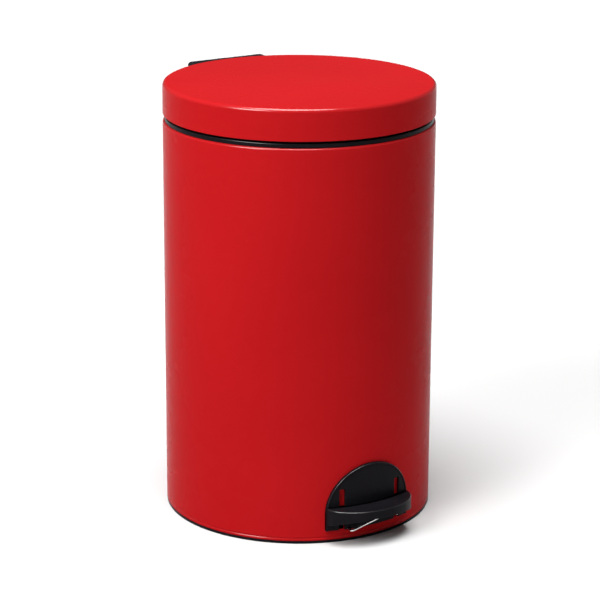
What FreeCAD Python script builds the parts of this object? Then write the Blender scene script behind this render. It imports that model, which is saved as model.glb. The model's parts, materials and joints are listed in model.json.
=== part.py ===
"""Round step-on waste can: steel body and lid, pedal mechanism and a lift-out inner bucket.

Millimetres. The origin is on the can's axis at the floor, the pedal points along -Y, the hinge is
at +Y and +Z is up. Every sub-part is modelled where it sits, so all the placements are the same.
"""
import FreeCAD, Part
import math
import os
import re
import Sketcher

from FreeCAD import Placement, Rotation, Vector

DIMENSIONS = {
    # outer shell, a painted steel cylinder with turned-in ends
    "can_radius": 146.0,
    "shell_wall": 0.8,
    "shell_low": 3.0,
    "shoulder_top": 430.2,
    "shoulder_round": 2.5,
    "shoulder_inner": 140.5,
    # base pan and base plate
    "pan_lip_inner": 141.9,
    "pan_lip_outer": 145.1,
    "pan_lip_top": 14.0,
    "pan_round": 0.8,
    "plate_radius": 141.5,
    "plate_wall": 1.0,
    "base_screw_circle": 136.8,
    # collar at the top of the shell
    "rim_edge_radius": 144.0,
    "rim_flange_wall": 3.6,
    "rim_brim_wall": 4.6,
    "rim_edge_round": 1.0,
    "rim_wall_outer": 139.0,
    "rim_wall_inner": 136.0,
    "rim_top": 464.0,
    "rim_ledge_inner": 121.2,
    "rim_lip_inner": 137.3,
    "rim_lip_outer": 140.3,
    "rim_lip_low": 420.0,
    "rim_notch_half": 16.0,
    "rim_notch_start": 128.0,
    # lid
    "lid_low": 437.4,
    "lid_top": 471.4,
    "lid_round": 4.4,
    "lid_wall": 0.8,
    "lid_hem": 1.6,
    "lid_hem_rise": 4.0,
    "lid_notch_half": 13.5,
    "lid_notch_top": 453.5,
    # lid hinge
    "hinge_y": 152.0,
    "hinge_z": 447.0,
    "pin_radius": 2.5,
    "pin_gap": 0.05,
    "knuckle_radius": 5.0,
    "lid_arm_half": 11.0,
    "lid_arm_wall": 2.0,
    "lid_arm_front": 104.0,
    "lid_arm_back": 143.2,
    "crank_radius": 18.0,
    "crank_start": 37.5,
    "block_half": 38.0,
    "block_low": 396.0,
    "block_top": 434.5,
    "block_back": 155.0,
    "block_round": 3.0,
    "block_ear_near": 26.0,
    "block_ear_wall": 6.0,
    "hinge_screw_x": 20.0,
    "hinge_screw_low": 404.0,
    "hinge_screw_rise": 15.0,
    "cover_half": 49.0,
    "cover_back_half": 48.5,
    "cover_end_round": 5.0,
    "cover_back": 157.0,
    "cover_low": 453.0,
    "cover_top": 469.4,
    "cover_wall": 2.0,
    "cover_screw_x": 27.0,
    "cover_screw_z": 461.0,
    "buffer_radius": 4.0,
    "buffer_circle": 136.4,
    "buffer_gap": 0.3,
    # pedal guard
    "guard_radius": 51.4,
    "guard_centre": 33.6,
    "guard_low": 14.3,
    "guard_wall": 2.9,
    "guard_border": 2.2,
    "guard_border_rise": 0.9,
    "guard_slot_x": 34.4,
    "guard_slot_width": 6.6,
    "guard_slot_top": 60.0,
    "guard_stud_x": 20.0,
    "guard_stud_z": 72.0,
    "guard_stud_radius": 2.0,
    "shell_slot_low": 14.6,
    "shell_slot_top": 38.5,
    # pedal pad, half an ellipse in plan
    "pad_top": 40.8,
    "pad_half": 52.0,
    "pad_centre": 140.0,
    "pad_reach": 34.6,
    "pad_nose_low": 31.6,
    "pad_heel_low": 21.4,
    "pad_heel_y": 142.0,
    "pad_wall": 2.8,
    "pad_back": 150.4,
    "pad_back_low": 26.0,
    "pad_round": 1.4,
    "rib_wall": 5.0,
    "rib_low": 23.6,
    "rib_top": 36.0,
    "rib_end": 112.0,
    # spring wire under the pedal
    "wire_radius": 1.3,
    "wire_x": 27.2,
    "wire_z": 14.2,
    # pedal lever
    "pivot_y": 70.0,
    "pivot_z": 20.0,
    "pivot_radius": 3.0,
    "sleeve_radius": 5.0,
    "sleeve_half": 33.5,
    "lever_half": 9.0,
    "lever_wall": 1.8,
    "lever_pin_z": 12.0,
    "lever_slot_front": 133.4,
    "lever_slot_back": 138.5,
    "lever_slot_half": 3.3,
    "lever_end": 143.8,
    "tab_far": 31.8,
    "tab_wall": 2.0,
    "tab_front": 136.0,
    "bracket_ear_near": 34.0,
    "bracket_wall": 2.0,
    "bracket_length": 28.0,
    "bracket_top": 27.0,
    # push rod
    "rod_radius": 2.5,
    "rod_eye_radius": 4.6,
    "rod_eye_half": 3.0,
    "joint_pin_radius": 2.5,
    "guide_height": 230.0,
    "guide_wall": 1.5,
    "guide_half": 10.0,
    # inner bucket
    "bucket_low": 46.0,
    "bucket_low_radius": 110.0,
    "bucket_top_radius": 120.0,
    "bucket_wall": 0.8,
    "bead_radius": 2.2,
    "bead_circle": 122.0,
    "bead_gap": 0.3,
    "ear_far": 117.6,
    "ear_wall": 1.5,
    "ear_half": 8.0,
    "ear_low": 400.0,
    "ear_top": 447.0,
    # bail
    "bail_z": 441.5,
    "bail_radius": 126.0,
    "bail_wire_radius": 2.0,
    "bail_bend": 4.0,
    "bail_end": 112.0,
    "grip_radius": 4.5,
    "grip_half_angle": 22.0,
}

doc = FreeCAD.newDocument("step_can")
sheet = doc.addObject("Spreadsheet::Sheet", "dims")
for row, (alias, number) in enumerate(DIMENSIONS.items(), start=1):
    sheet.set(f"A{row}", alias)
    sheet.set(f"B{row}", str(number))
    sheet.setAlias(f"B{row}", alias)
doc.recompute()

nodes = []


# ---------------------------------------------------------------- formulas
def bound(formula):
    """A formula written with bare names, such as "can_radius - 2", as an expression on the sheet."""
    return re.sub(r"\b[a-z]\w*_\w+\b", lambda name: "dims." + name.group(), str(formula))


def value(formula):
    """The number that a formula gives with the sheet's present values."""
    answer = sheet.evalExpression(bound(formula))
    return float(getattr(answer, "Value", answer))


def point(*formulas):
    return Vector(*[value(formula) for formula in formulas])


# ---------------------------------------------------------------- PartDesign helpers
def new_body(label):
    body = doc.addObject("PartDesign::Body", label)
    body.Label = label
    nodes.append(body)
    return body


def origin_item(body, role):
    return next(item for item in body.Origin.OriginFeatures if item.Role == role)


def new_sketch(body, role, offset="0"):
    """A sketch on an origin plane, moved along the plane's normal by offset."""
    sketch = body.newObject("Sketcher::SketchObject", body.Name + "_sketch")
    sketch.AttachmentSupport = [(origin_item(body, role), "")]
    sketch.MapMode = "FlatFace"
    sketch.setExpression("AttachmentOffset.Base.z", bound(offset))
    return sketch


def fix_distance(sketch, kind, geometry, end, formula):
    """Tie one coordinate of a line's or arc's end, or of a centre, to a formula."""
    number = sketch.addConstraint(
        Sketcher.Constraint(kind, -1, 1, geometry, end, value(formula)))
    sketch.setExpression(f"Constraints[{number}]", bound(formula))


def fix_point(sketch, geometry, end, x, y):
    fix_distance(sketch, "DistanceX", geometry, end, x)
    fix_distance(sketch, "DistanceY", geometry, end, y)


def fix_radius(sketch, geometry, radius):
    number = sketch.addConstraint(Sketcher.Constraint("Radius", geometry, value(radius)))
    sketch.setExpression(f"Constraints[{number}]", bound(radius))


def draw_circle(sketch, x, y, radius):
    circle = sketch.addGeometry(Part.Circle(point(x, y, 0), Vector(0, 0, 1), value(radius)))
    fix_point(sketch, circle, 3, x, y)
    fix_radius(sketch, circle, radius)


def draw_ellipse(sketch, y, x_radius, y_radius):
    """An ellipse whose centre is at (0, y), wider than it is deep."""
    curve = Part.Ellipse(point("0", y, "0"), value(x_radius), value(y_radius))
    ellipse = sketch.addGeometry(curve)
    sketch.exposeInternalGeometry(ellipse)
    long_axis, short_axis = ellipse + 1, ellipse + 2
    fix_point(sketch, ellipse, 3, "0", y)
    long_end = sketch.Geometry[long_axis].EndPoint
    fix_point(sketch, long_axis, 2, x_radius if long_end.x > 0 else f"-({x_radius})", y)
    short_end = sketch.Geometry[short_axis].EndPoint
    sign = "+" if short_end.y > value(y) else "-"
    fix_distance(sketch, "DistanceY", short_axis, 2, f"{y} {sign} ({y_radius})")


def toward(start, end, radius):
    """Formulas of the point that lies radius away from start, on an axis-parallel edge to end."""
    moved = []
    for a, b in zip(start, end):
        gap = value(f"({b}) - ({a})")
        if abs(gap) < 1e-9:
            moved.append(a)
        else:
            moved.append(f"({a}) {'+' if gap > 0 else '-'} ({radius})")
    return tuple(moved)


def draw_outline(sketch, corners):
    """A closed outline of straight edges. A corner is (x, y), or (x, y, radius) where two edges that
    are parallel to the sketch's axes meet in a round."""
    ends = []
    for number, corner in enumerate(corners):
        here = corner[:2]
        before = corners[number - 1][:2]
        after = corners[(number + 1) % len(corners)][:2]
        if len(corner) == 3:
            ends.append((toward(here, before, corner[2]), toward(here, after, corner[2]), corner[2]))
        else:
            ends.append((here, here, None))
    for number, (arrive, leave, radius) in enumerate(ends):
        if radius is not None:
            draw_corner_arc(sketch, corners[number][:2], arrive, leave, radius)
        next_arrive = ends[(number + 1) % len(ends)][0]
        line = sketch.addGeometry(Part.LineSegment(point(*leave, 0), point(*next_arrive, 0)))
        fix_point(sketch, line, 1, *leave)
        fix_point(sketch, line, 2, *next_arrive)


def draw_corner_arc(sketch, corner, arrive, leave, radius):
    """A quarter round from arrive to leave, inside the square corner."""
    centre = tuple(f"({a}) + ({b}) - ({c})" for a, b, c in zip(arrive, leave, corner))
    hub = point(*centre, 0)
    angles = []
    for end in (arrive, leave):
        spoke = point(*end, 0) - hub
        angles.append(math.atan2(spoke.y, spoke.x))
    starts_first = (angles[1] - angles[0]) % (2 * math.pi) < math.pi
    first, second = (arrive, leave) if starts_first else (leave, arrive)
    start, stop = angles if starts_first else reversed(angles)
    circle = Part.Circle(hub, Vector(0, 0, 1), value(radius))
    arc = sketch.addGeometry(Part.ArcOfCircle(circle, start, stop))
    fix_point(sketch, arc, 1, *first)
    fix_point(sketch, arc, 2, *second)
    fix_distance(sketch, "DistanceX", arc, 3, centre[0])


def feature(body, kind, sketch, **settings):
    made = body.newObject("PartDesign::" + kind, body.Name + "_" + kind.lower())
    made.Profile = sketch
    for name, setting in settings.items():
        setattr(made, name, setting)
    return made


def pad(body, sketch, length, sides="One side", backwards=False):
    made = feature(body, "Pad", sketch, SideType=sides, Reversed=backwards)
    made.setExpression("Length", bound(length))
    return made


def pocket(body, sketch, length, sides="Symmetric", backwards=False):
    """A cut that must take material away: its volume is compared with the solid before it."""
    doc.recompute()
    before = body.Shape.Volume
    made = feature(body, "Pocket", sketch, SideType=sides, Reversed=backwards)
    made.setExpression("Length", bound(length))
    doc.recompute()
    if not body.Shape.Volume < before - 1e-3:
        raise ValueError(f"a pocket of {body.Label} cuts nothing")
    return made


def revolve(body, corners):
    """Turn an outline, given as (radius, height), a full turn about the can's axis."""
    sketch = new_sketch(body, "XZ_Plane")
    draw_outline(sketch, corners)
    return feature(body, "Revolution", sketch, ReferenceAxis=(sketch, ["V_Axis"]), Angle=360.0)


def cut_box(body, x_half, z_low, z_high, y_start, y_end):
    """Remove an upright box that is symmetric about X = 0."""
    sketch = new_sketch(body, "YZ_Plane")
    draw_outline(sketch, [(y_start, z_low), (y_end, z_low), (y_end, z_high), (y_start, z_high)])
    pocket(body, sketch, f"2 * ({x_half})")


# ---------------------------------------------------------------- Part helpers
def cylinder(name, radius, length, base, direction):
    """A Part::Cylinder that starts at base, three formulas, and runs along direction."""
    made = doc.addObject("Part::Cylinder", name)
    made.setExpression("Radius", bound(radius))
    made.setExpression("Height", bound(length))
    made.Placement = Placement(Vector(), Rotation(Vector(0, 0, 1), Vector(*direction)))
    for axis, formula in zip("xyz", base):
        made.setExpression(f"Placement.Base.{axis}", bound(formula))
    return made


def box(name, low, high):
    """A Part::Box between two corners, three formulas each."""
    made = doc.addObject("Part::Box", name)
    for side, axis, first, last in zip(("Length", "Width", "Height"), "xyz", low, high):
        made.setExpression(side, bound(f"({last}) - ({first})"))
        made.setExpression(f"Placement.Base.{axis}", bound(first))
    return made


def boolean(kind, name, base, tool):
    made = doc.addObject("Part::" + kind, name)
    made.Base = base
    made.Tool = tool
    return made


def fuse_all(name, pieces):
    made = doc.addObject("Part::MultiFuse", name)
    made.Shapes = pieces
    return made


def group(label, pieces):
    """Several equal, separate solids that share one node."""
    made = doc.addObject("Part::Compound", label)
    made.Label = label
    made.Links = pieces
    nodes.append(made)
    return made


def as_node(made, label):
    made.Label = label
    nodes.append(made)
    return made


def signed(formula, side):
    return formula if side > 0 else f"-({formula})"


def bent_rod(points, radii, rod_radius):
    """A round rod along straight runs that are joined by tangent arcs of the given radii."""
    edges = []
    start = points[0]
    for number in range(1, len(points) - 1):
        corner = points[number]
        back = (points[number - 1] - corner).normalize()
        ahead = (points[number + 1] - corner).normalize()
        half = back.getAngle(ahead) / 2
        reach = radii[number - 1] / math.tan(half)
        first = corner + back * reach
        last = corner + ahead * reach
        inward = (back + ahead).normalize()
        middle = corner + inward * (radii[number - 1] / math.sin(half) - radii[number - 1])
        edges.append(Part.LineSegment(start, first).toShape())
        edges.append(Part.Arc(first, middle, last).toShape())
        start = last
    edges.append(Part.LineSegment(start, points[-1]).toShape())
    path = Part.Wire(edges)
    section = Part.Circle(points[0], points[1] - points[0], rod_radius).toShape()
    return path.makePipeShell([Part.Wire([section])], True, True)


# ---------------------------------------------------------------- outer shell and base
def make_outer_shell():
    """Steel cylinder with a turned-in shoulder, two slots for the pedal and a hole for its wire."""
    body = new_body("outer_shell")
    revolve(body, [
        ("can_radius", "shell_low"),
        ("can_radius", "shoulder_top", "shoulder_round"),
        ("shoulder_inner", "shoulder_top"),
        ("shoulder_inner", "shoulder_top - shell_wall"),
        ("can_radius - shell_wall", "shoulder_top - shell_wall", "shoulder_round - shell_wall"),
        ("can_radius - shell_wall", "shell_low"),
    ])
    for side in (1, -1):
        slot = new_sketch(body, "XZ_Plane")
        low, high = "shell_slot_low", "shell_slot_top"
        near = signed("guard_slot_x - guard_slot_width / 2", side)
        far = signed("guard_slot_x + guard_slot_width / 2", side)
        draw_outline(slot, [(near, low), (far, low), (far, high), (near, high)])
        pocket(body, slot, "can_radius + 1", sides="One side", backwards=True)
        stud = new_sketch(body, "XZ_Plane")
        draw_circle(stud, signed("guard_stud_x", side), "guard_stud_z", "guard_stud_radius + 0.1")
        pocket(body, stud, "can_radius + 1", sides="One side", backwards=True)
        screws = new_sketch(body, "XZ_Plane")
        for height in ("hinge_screw_low", "hinge_screw_low + hinge_screw_rise"):
            draw_circle(screws, signed("hinge_screw_x", side), height, "2.1")
        pocket(body, screws, "can_radius + 1", sides="One side")
    wire = new_sketch(body, "XZ_Plane")
    draw_circle(wire, "-wire_x", "wire_z", "wire_radius + 0.2")
    pocket(body, wire, "can_radius + 1", sides="One side", backwards=True)


def make_base_pan():
    """Plastic pan under the shell, flat below, with a lip that stands up inside the shell."""
    body = new_body("base_pan")
    revolve(body, [
        ("0", "0"),
        ("can_radius", "0", "pan_round"),
        ("can_radius", "shell_low"),
        ("pan_lip_outer", "shell_low"),
        ("pan_lip_outer", "pan_lip_top"),
        ("pan_lip_inner", "pan_lip_top"),
        ("pan_lip_inner", "shell_low"),
        ("0", "shell_low"),
    ])
    cut_box(body, "guard_slot_x + 11", "shell_low", "pan_lip_top + 1", "-can_radius", "0")
    cut_box(body, "lever_half + 5", "shell_low", "pan_lip_top + 1", "0", "can_radius")
    holes = new_sketch(body, "XY_Plane", "shell_low - 2.1")
    for x, y in base_screw_places():
        draw_circle(holes, x, y, "2.1")
    pocket(body, holes, "4", sides="One side", backwards=True)


def base_screw_places():
    reach = "base_screw_circle * sqrt(0.5)"
    return [(signed(reach, x), signed(reach, y)) for x in (1, -1) for y in (1, -1)]


def make_base_plate():
    """Pressed steel floor that closes the can and carries the lever bracket."""
    body = new_body("base_plate")
    revolve(body, [
        ("0", "shell_low"),
        ("plate_radius", "shell_low"),
        ("plate_radius", "shell_low + plate_wall"),
        ("0", "shell_low + plate_wall"),
    ])
    holes = new_sketch(body, "XY_Plane")
    for x, y in base_screw_places() + bracket_rivet_places():
        draw_circle(holes, x, y, "2.1")
    pocket(body, holes, "20")


def bracket_rivet_places():
    x, near, far = "lever_half + 13", "-(pivot_y - 8)", "-(pivot_y + 8)"
    return [(signed(x, side), y) for side in (1, -1) for y in (near, far)]


def headed_pin(name, place, direction, head_radius, head_length, shank_radius, shank_length):
    """A round head at place with a thinner shank that runs on from it along direction."""
    offset = [f"({base}) + ({step}) * ({head_length})" for base, step in zip(place, direction)]
    head = cylinder(name + "_head", head_radius, head_length, place, direction)
    shank = cylinder(name + "_shank", shank_radius, shank_length, offset, direction)
    return boolean("Fuse", name, head, shank)


def make_base_screws():
    down = (0, 0, -1)
    screws = []
    for number, (x, y) in enumerate(base_screw_places()):
        place = (x, y, "shell_low + plate_wall + 2")
        screws.append(headed_pin(f"base_screw_{number}", place, down, "4", "2", "2", "3"))
    group("base_screws", screws)


# ---------------------------------------------------------------- collar
def make_top_rim():
    """Collar on the shell's shoulder: an outer edge, a wall up into the lid and a bucket ledge."""
    body = new_body("top_rim")
    flange_top = "shoulder_top + rim_flange_wall"
    brim_top = "shoulder_top + rim_brim_wall"
    revolve(body, [
        ("rim_ledge_inner", "shoulder_top"),
        ("rim_lip_inner", "shoulder_top"),
        ("rim_lip_inner", "rim_lip_low"),
        ("rim_lip_outer", "rim_lip_low"),
        ("rim_lip_outer", "shoulder_top"),
        ("rim_edge_radius", "shoulder_top"),
        ("rim_edge_radius", brim_top, "rim_edge_round"),
        ("rim_wall_outer", brim_top),
        ("rim_wall_outer", "rim_top", "rim_edge_round"),
        ("rim_wall_inner", "rim_top", "rim_edge_round"),
        ("rim_wall_inner", flange_top),
        ("rim_ledge_inner", flange_top),
    ])
    cut_box(body, "rim_notch_half", "rim_lip_low - 1", "rim_top + 1", "rim_notch_start", "can_radius")


# ---------------------------------------------------------------- lid
def make_lid_shell():
    """Steel cap with a rounded edge, a hemmed skirt and a notch for the hinge arm."""
    body = new_body("lid_shell")
    inside = "can_radius - lid_wall"
    revolve(body, [
        ("0", "lid_top"),
        ("can_radius", "lid_top", "lid_round"),
        ("can_radius", "lid_low", "0.7"),
        ("can_radius - lid_hem", "lid_low", "0.7"),
        ("can_radius - lid_hem", "lid_low + lid_hem_rise"),
        (inside, "lid_low + lid_hem_rise + 0.8"),
        (inside, "lid_top - lid_wall", "lid_round - lid_wall"),
        ("0", "lid_top - lid_wall"),
    ])
    cut_box(body, "lid_notch_half", "lid_low - 1", "lid_notch_top", "hinge_y - 20", "hinge_y")
    holes = new_sketch(body, "XZ_Plane")
    for side in (1, -1):
        draw_circle(holes, signed("cover_screw_x", side), "cover_screw_z", "1.6")
    pocket(body, holes, "can_radius + 1", sides="One side")


CRANK_Y = "hinge_y - crank_radius * cos(crank_start)"
CRANK_Z = "hinge_z - crank_radius * sin(crank_start)"


def make_lid_hinge_arm():
    """Steel channel spot-welded under the lid; its cheeks hold the hinge pin and the crank pin."""
    body = new_body("lid_hinge_arm")
    under = "lid_top - lid_wall"
    edge_y = "knuckle_radius * sin(crank_start)"
    edge_z = "knuckle_radius * cos(crank_start)"
    side = new_sketch(body, "YZ_Plane")
    draw_outline(side, [
        ("lid_arm_front", under),
        ("lid_arm_front", "lid_top - 6"),
        (f"{CRANK_Y} - 10", "lid_top - 10"),
        (f"{CRANK_Y} - knuckle_radius", CRANK_Z),
        (f"{CRANK_Y} + {edge_y}", f"{CRANK_Z} - {edge_z}"),
        (f"hinge_y + {edge_y}", f"hinge_z - {edge_z}"),
        ("hinge_y", "hinge_z + knuckle_radius"),
        ("lid_arm_back", "hinge_z + knuckle_radius"),
        ("lid_arm_back", under + " - 2.7"),
        ("lid_arm_back - 3", under),
    ])
    pad(body, side, "2 * lid_arm_half", sides="Symmetric")
    for y, z in (("hinge_y", "hinge_z"), (CRANK_Y, CRANK_Z)):
        eye = new_sketch(body, "YZ_Plane")
        draw_circle(eye, y, z, "knuckle_radius")
        pad(body, eye, "2 * lid_arm_half", sides="Symmetric")
    gap = "lid_arm_half - lid_arm_wall"
    cut_box(body, gap, CRANK_Z + " - 10", under + " - lid_arm_wall + 0.4", "lid_arm_front - 1",
            "hinge_y + 10")
    hole_formula = {"hinge": ("hinge_y", "hinge_z", "pin_radius + pin_gap"),
                    "crank": (CRANK_Y, CRANK_Z, "joint_pin_radius + pin_gap")}
    for y, z, radius in hole_formula.values():
        hole = new_sketch(body, "YZ_Plane")
        draw_circle(hole, y, z, radius)
        pocket(body, hole, "3 * lid_arm_half")


def make_lid_hinge_cover():
    """Moulded cap behind the lid, over the hinge pin, hollow from below."""
    body = new_body("lid_hinge_cover")
    outside = new_sketch(body, "XY_Plane", "cover_low")
    draw_outline(outside, [
        ("-cover_half", "can_radius - 14"),
        ("cover_half", "can_radius - 14"),
        ("cover_half", "can_radius - 2.5"),
        ("cover_back_half", "cover_back"),
        ("-cover_back_half", "cover_back"),
        ("-cover_half", "can_radius - 2.5"),
    ])
    pad(body, outside, "cover_top - cover_low")
    hollow = new_sketch(body, "XY_Plane", "cover_low")
    draw_outline(hollow, [
        ("cover_wall - cover_half", "can_radius - 12"),
        ("cover_half - cover_wall", "can_radius - 12"),
        ("cover_half - cover_wall", "can_radius - 2.9"),
        ("cover_back_half - cover_wall", "cover_back - cover_wall"),
        ("cover_wall - cover_back_half", "cover_back - cover_wall"),
        ("cover_wall - cover_half", "can_radius - 2.9"),
    ])
    pocket(body, hollow, "cover_top - cover_low - cover_wall", sides="One side", backwards=True)
    wall = new_sketch(body, "XY_Plane", "cover_low")
    draw_circle(wall, "0", "0", "can_radius + cover_wall + 0.1")
    pad(body, wall, "cover_top - cover_low")
    keep_span(body, "cover_half", "can_radius - 20")
    clear = new_sketch(body, "XY_Plane", "cover_low - 1")
    draw_circle(clear, "0", "0", "can_radius + 0.1")
    pocket(body, clear, "cover_top - cover_low + 2", sides="One side", backwards=True)
    round_edges(body, "1.2", lambda edge: edge_is_at(edge, "z", "cover_top", 0.01)
                and edge.BoundBox.YMin > value("can_radius - 1"))
    ends = new_sketch(body, "XZ_Plane")
    for side in (1, -1):
        start, end, beyond = [signed(place, side) for place in
                              ("cover_half - cover_end_round", "cover_half", "cover_half + 2")]
        draw_outline(ends, [
            (start, "cover_top"),
            (end, "cover_top", "cover_end_round - 0.05"),
            (end, "cover_top - cover_end_round"),
            (beyond, "cover_top - cover_end_round"),
            (beyond, "cover_top + 2"),
            (start, "cover_top + 2"),
        ])
    pocket(body, ends, "2 * can_radius", sides="One side")
    holes = new_sketch(body, "XZ_Plane")
    for side in (1, -1):
        draw_circle(holes, signed("cover_screw_x", side), "cover_screw_z", "1.3")
    pocket(body, holes, "can_radius + 4", sides="One side")


def keep_span(body, half, y_start):
    """Remove everything of a round pad that lies beyond half in X or in front of y_start."""
    big = "2 * can_radius"
    for corners in (
        [(half, "-" + big), (big, "-" + big), (big, big), (half, big)],
        [("-" + big, "-" + big), (f"-{half}", "-" + big), (f"-{half}", big), ("-" + big, big)],
        [("-" + big, "-" + big), (big, "-" + big), (big, y_start), ("-" + big, y_start)],
    ):
        sketch = new_sketch(body, "XY_Plane")
        draw_outline(sketch, corners)
        pocket(body, sketch, "4 * lid_top")


def edge_is_at(edge, axis, formula, slack):
    """Whether an edge lies in one plane across an axis, at the formula's height."""
    limits = edge.BoundBox
    low, high = getattr(limits, axis.upper() + "Min"), getattr(limits, axis.upper() + "Max")
    return abs(low - value(formula)) < slack and abs(high - value(formula)) < slack


def round_edges(body, radius, wanted):
    """Round the edges of a body that the test wanted picks."""
    doc.recompute()
    base = body.Tip
    names = [f"Edge{number}" for number, edge in enumerate(base.Shape.Edges, start=1) if wanted(edge)]
    made = body.newObject("PartDesign::Fillet", body.Name + "_fillet")
    made.Base = (base, names)
    made.setExpression("Radius", bound(radius))


def make_cover_screws():
    """Two screws through the lid's skirt, from inside, into the hinge cover."""
    screws = []
    for side in (1, -1):
        wall = "sqrt((can_radius - lid_wall)^2 - cover_screw_x^2)"
        place = (signed("cover_screw_x", side), f"{wall} - 2.4", "cover_screw_z")
        name = f"cover_screw_{side + 1}"
        screws.append(headed_pin(name, place, (0, 1, 0), "2.8", "1.6", "1.25", "5"))
    group("cover_screws", screws)


def make_lid_buffers():
    """Rubber stops under the lid that rest on the collar's wall."""
    buffers = []
    for number, degrees in enumerate((-90, 30, 150)):
        across = f"buffer_circle * cos({degrees})"
        along = f"buffer_circle * sin({degrees})"
        length = "lid_top - lid_wall - rim_top - buffer_gap"
        buffers.append(cylinder(f"buffer_{number}", "buffer_radius", length,
                                (across, along, "rim_top + buffer_gap"), (0, 0, 1)))
    group("lid_buffers", buffers)


# ---------------------------------------------------------------- body side of the lid hinge
def make_hinge_block():
    """Moulded block on the back of the shell; its two ears hold the hinge pin."""
    body = new_body("hinge_block")
    plan = new_sketch(body, "XY_Plane", "block_low")
    draw_outline(plan, [
        ("-block_half", "can_radius - 14"),
        ("block_half", "can_radius - 14"),
        ("block_half", "block_back", "block_round"),
        ("-block_half", "block_back", "block_round"),
    ])
    pad(body, plan, "block_top - block_low")
    clear = new_sketch(body, "XY_Plane", "block_low - 1")
    draw_circle(clear, "0", "0", "can_radius + 0.1")
    pocket(body, clear, "block_top - block_low + 2", sides="One side", backwards=True)
    for side in (1, -1):
        start = "block_ear_near" if side > 0 else "-(block_ear_near + block_ear_wall)"
        ear = new_sketch(body, "YZ_Plane", start)
        draw_outline(ear, [
            ("hinge_y - knuckle_radius", "block_top - 6"),
            ("hinge_y + 3", "block_top - 6"),
            ("hinge_y + knuckle_radius", "hinge_z"),
            ("hinge_y - knuckle_radius", "hinge_z"),
        ])
        pad(body, ear, "block_ear_wall")
        eye = new_sketch(body, "YZ_Plane", start)
        draw_circle(eye, "hinge_y", "hinge_z", "knuckle_radius")
        pad(body, eye, "block_ear_wall")
    bore = new_sketch(body, "YZ_Plane")
    draw_circle(bore, "hinge_y", "hinge_z", "pin_radius + 0.02")
    pocket(body, bore, "4 * block_half")
    screws = new_sketch(body, "XZ_Plane")
    for x, z in hinge_screw_places():
        draw_circle(screws, x, z, "2.1")
    pocket(body, screws, "block_back + 1", sides="One side")


def hinge_screw_places():
    rows = ("hinge_screw_low", "hinge_screw_low + hinge_screw_rise")
    return [(signed("hinge_screw_x", side), row) for side in (1, -1) for row in rows]


def make_hinge_screws_and_nuts():
    inner = "sqrt((can_radius - shell_wall)^2 - (hinge_screw_x + 3.5)^2)"
    screws, nuts = [], []
    for number, (x, z) in enumerate(hinge_screw_places()):
        place = (x, "block_back + 2.4", z)
        length = f"block_back - ({inner}) + 3.4"
        screws.append(headed_pin(f"hinge_screw_{number}", place, (0, -1, 0), "4", "2.4", "2",
                                 length))
        blank = cylinder(f"hinge_nut_{number}_blank", "3.5", "2.6", (x, inner, z), (0, -1, 0))
        hole = cylinder(f"hinge_nut_{number}_hole", "2.02", "4", (x, f"{inner} + 0.5", z), (0, -1, 0))
        nuts.append(boolean("Cut", f"hinge_nut_{number}", blank, hole))
    group("hinge_screws", screws)
    group("hinge_nuts", nuts)


def make_hinge_pin():
    reach = "block_ear_near + block_ear_wall"
    place = (f"-({reach} + 1.5)", "hinge_y", "hinge_z")
    pin = headed_pin("hinge_pin", place, (1, 0, 0), "3.8", "1.5", "pin_radius", f"2 * ({reach}) + 1")
    as_node(pin, "hinge_pin")


# ---------------------------------------------------------------- pedal guard
def guard_arch(name, radius, low):
    """An upright arch, radius wide each side, that runs along Y through the front of the can."""
    depth = "can_radius"
    top = cylinder(name + "_top", radius, depth, ("0", "-can_radius / 3", "guard_centre"), (0, -1, 0))
    foot = box(name + "_foot", (f"-({radius})", f"-can_radius / 3 - {depth}", low),
               (radius, "-can_radius / 3", "guard_centre"))
    return boolean("Fuse", name, top, foot)


def guard_sheet(name, outer):
    """A round wall of the guard's thickness that lies against the shell."""
    low, length = ("0", "0", "guard_low"), "2 * guard_radius"
    solid = cylinder(name + "_solid", outer, length, low, (0, 0, 1))
    core = cylinder(name + "_core", "can_radius + 0.1", length, low, (0, 0, 1))
    return boolean("Cut", name, solid, core)


def make_pedal_guard():
    """Arched plate that follows the shell, with a raised border, two slots for the pedal and a notch."""
    field = boolean("Common", "guard_field", guard_sheet("guard_sheet", "can_radius + guard_wall"),
                    guard_arch("guard_outline", "guard_radius", "guard_low"))
    rise = "can_radius + guard_wall + guard_border_rise"
    band = boolean("Cut", "guard_band",
                   guard_arch("guard_band_outer", "guard_radius", "guard_low"),
                   guard_arch("guard_band_inner", "guard_radius - guard_border", "guard_low - 1"))
    border = boolean("Common", "guard_border_line", guard_sheet("guard_border_sheet", rise), band)
    studs = []
    slots = []
    for side in (1, -1):
        across = signed("guard_slot_x", side)
        half = "guard_slot_width / 2"
        slots.append(box(f"guard_slot_{side + 1}",
                         (f"{across} - {half}", "-can_radius - 10", "guard_low - 1"),
                         (f"{across} + {half}", "-can_radius / 2", "guard_slot_top")))
        studs.append(cylinder(f"guard_stud_{side + 1}", "guard_stud_radius", "10",
                              (signed("guard_stud_x", side), "-(can_radius - 8.5)", "guard_stud_z"),
                              (0, -1, 0)))
    room = "wire_radius + 0.4"
    slots.append(box("guard_wire_notch",
                     (f"-wire_x - ({room})", "-can_radius - 10", "guard_low - 1"),
                     (f"-wire_x + {room}", "-can_radius / 2", f"wire_z + {room}")))
    plate = fuse_all("guard_plate", [field, border] + studs)
    as_node(boolean("Cut", "pedal_guard", plate, fuse_all("guard_slots", slots)), "pedal_guard")


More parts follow.
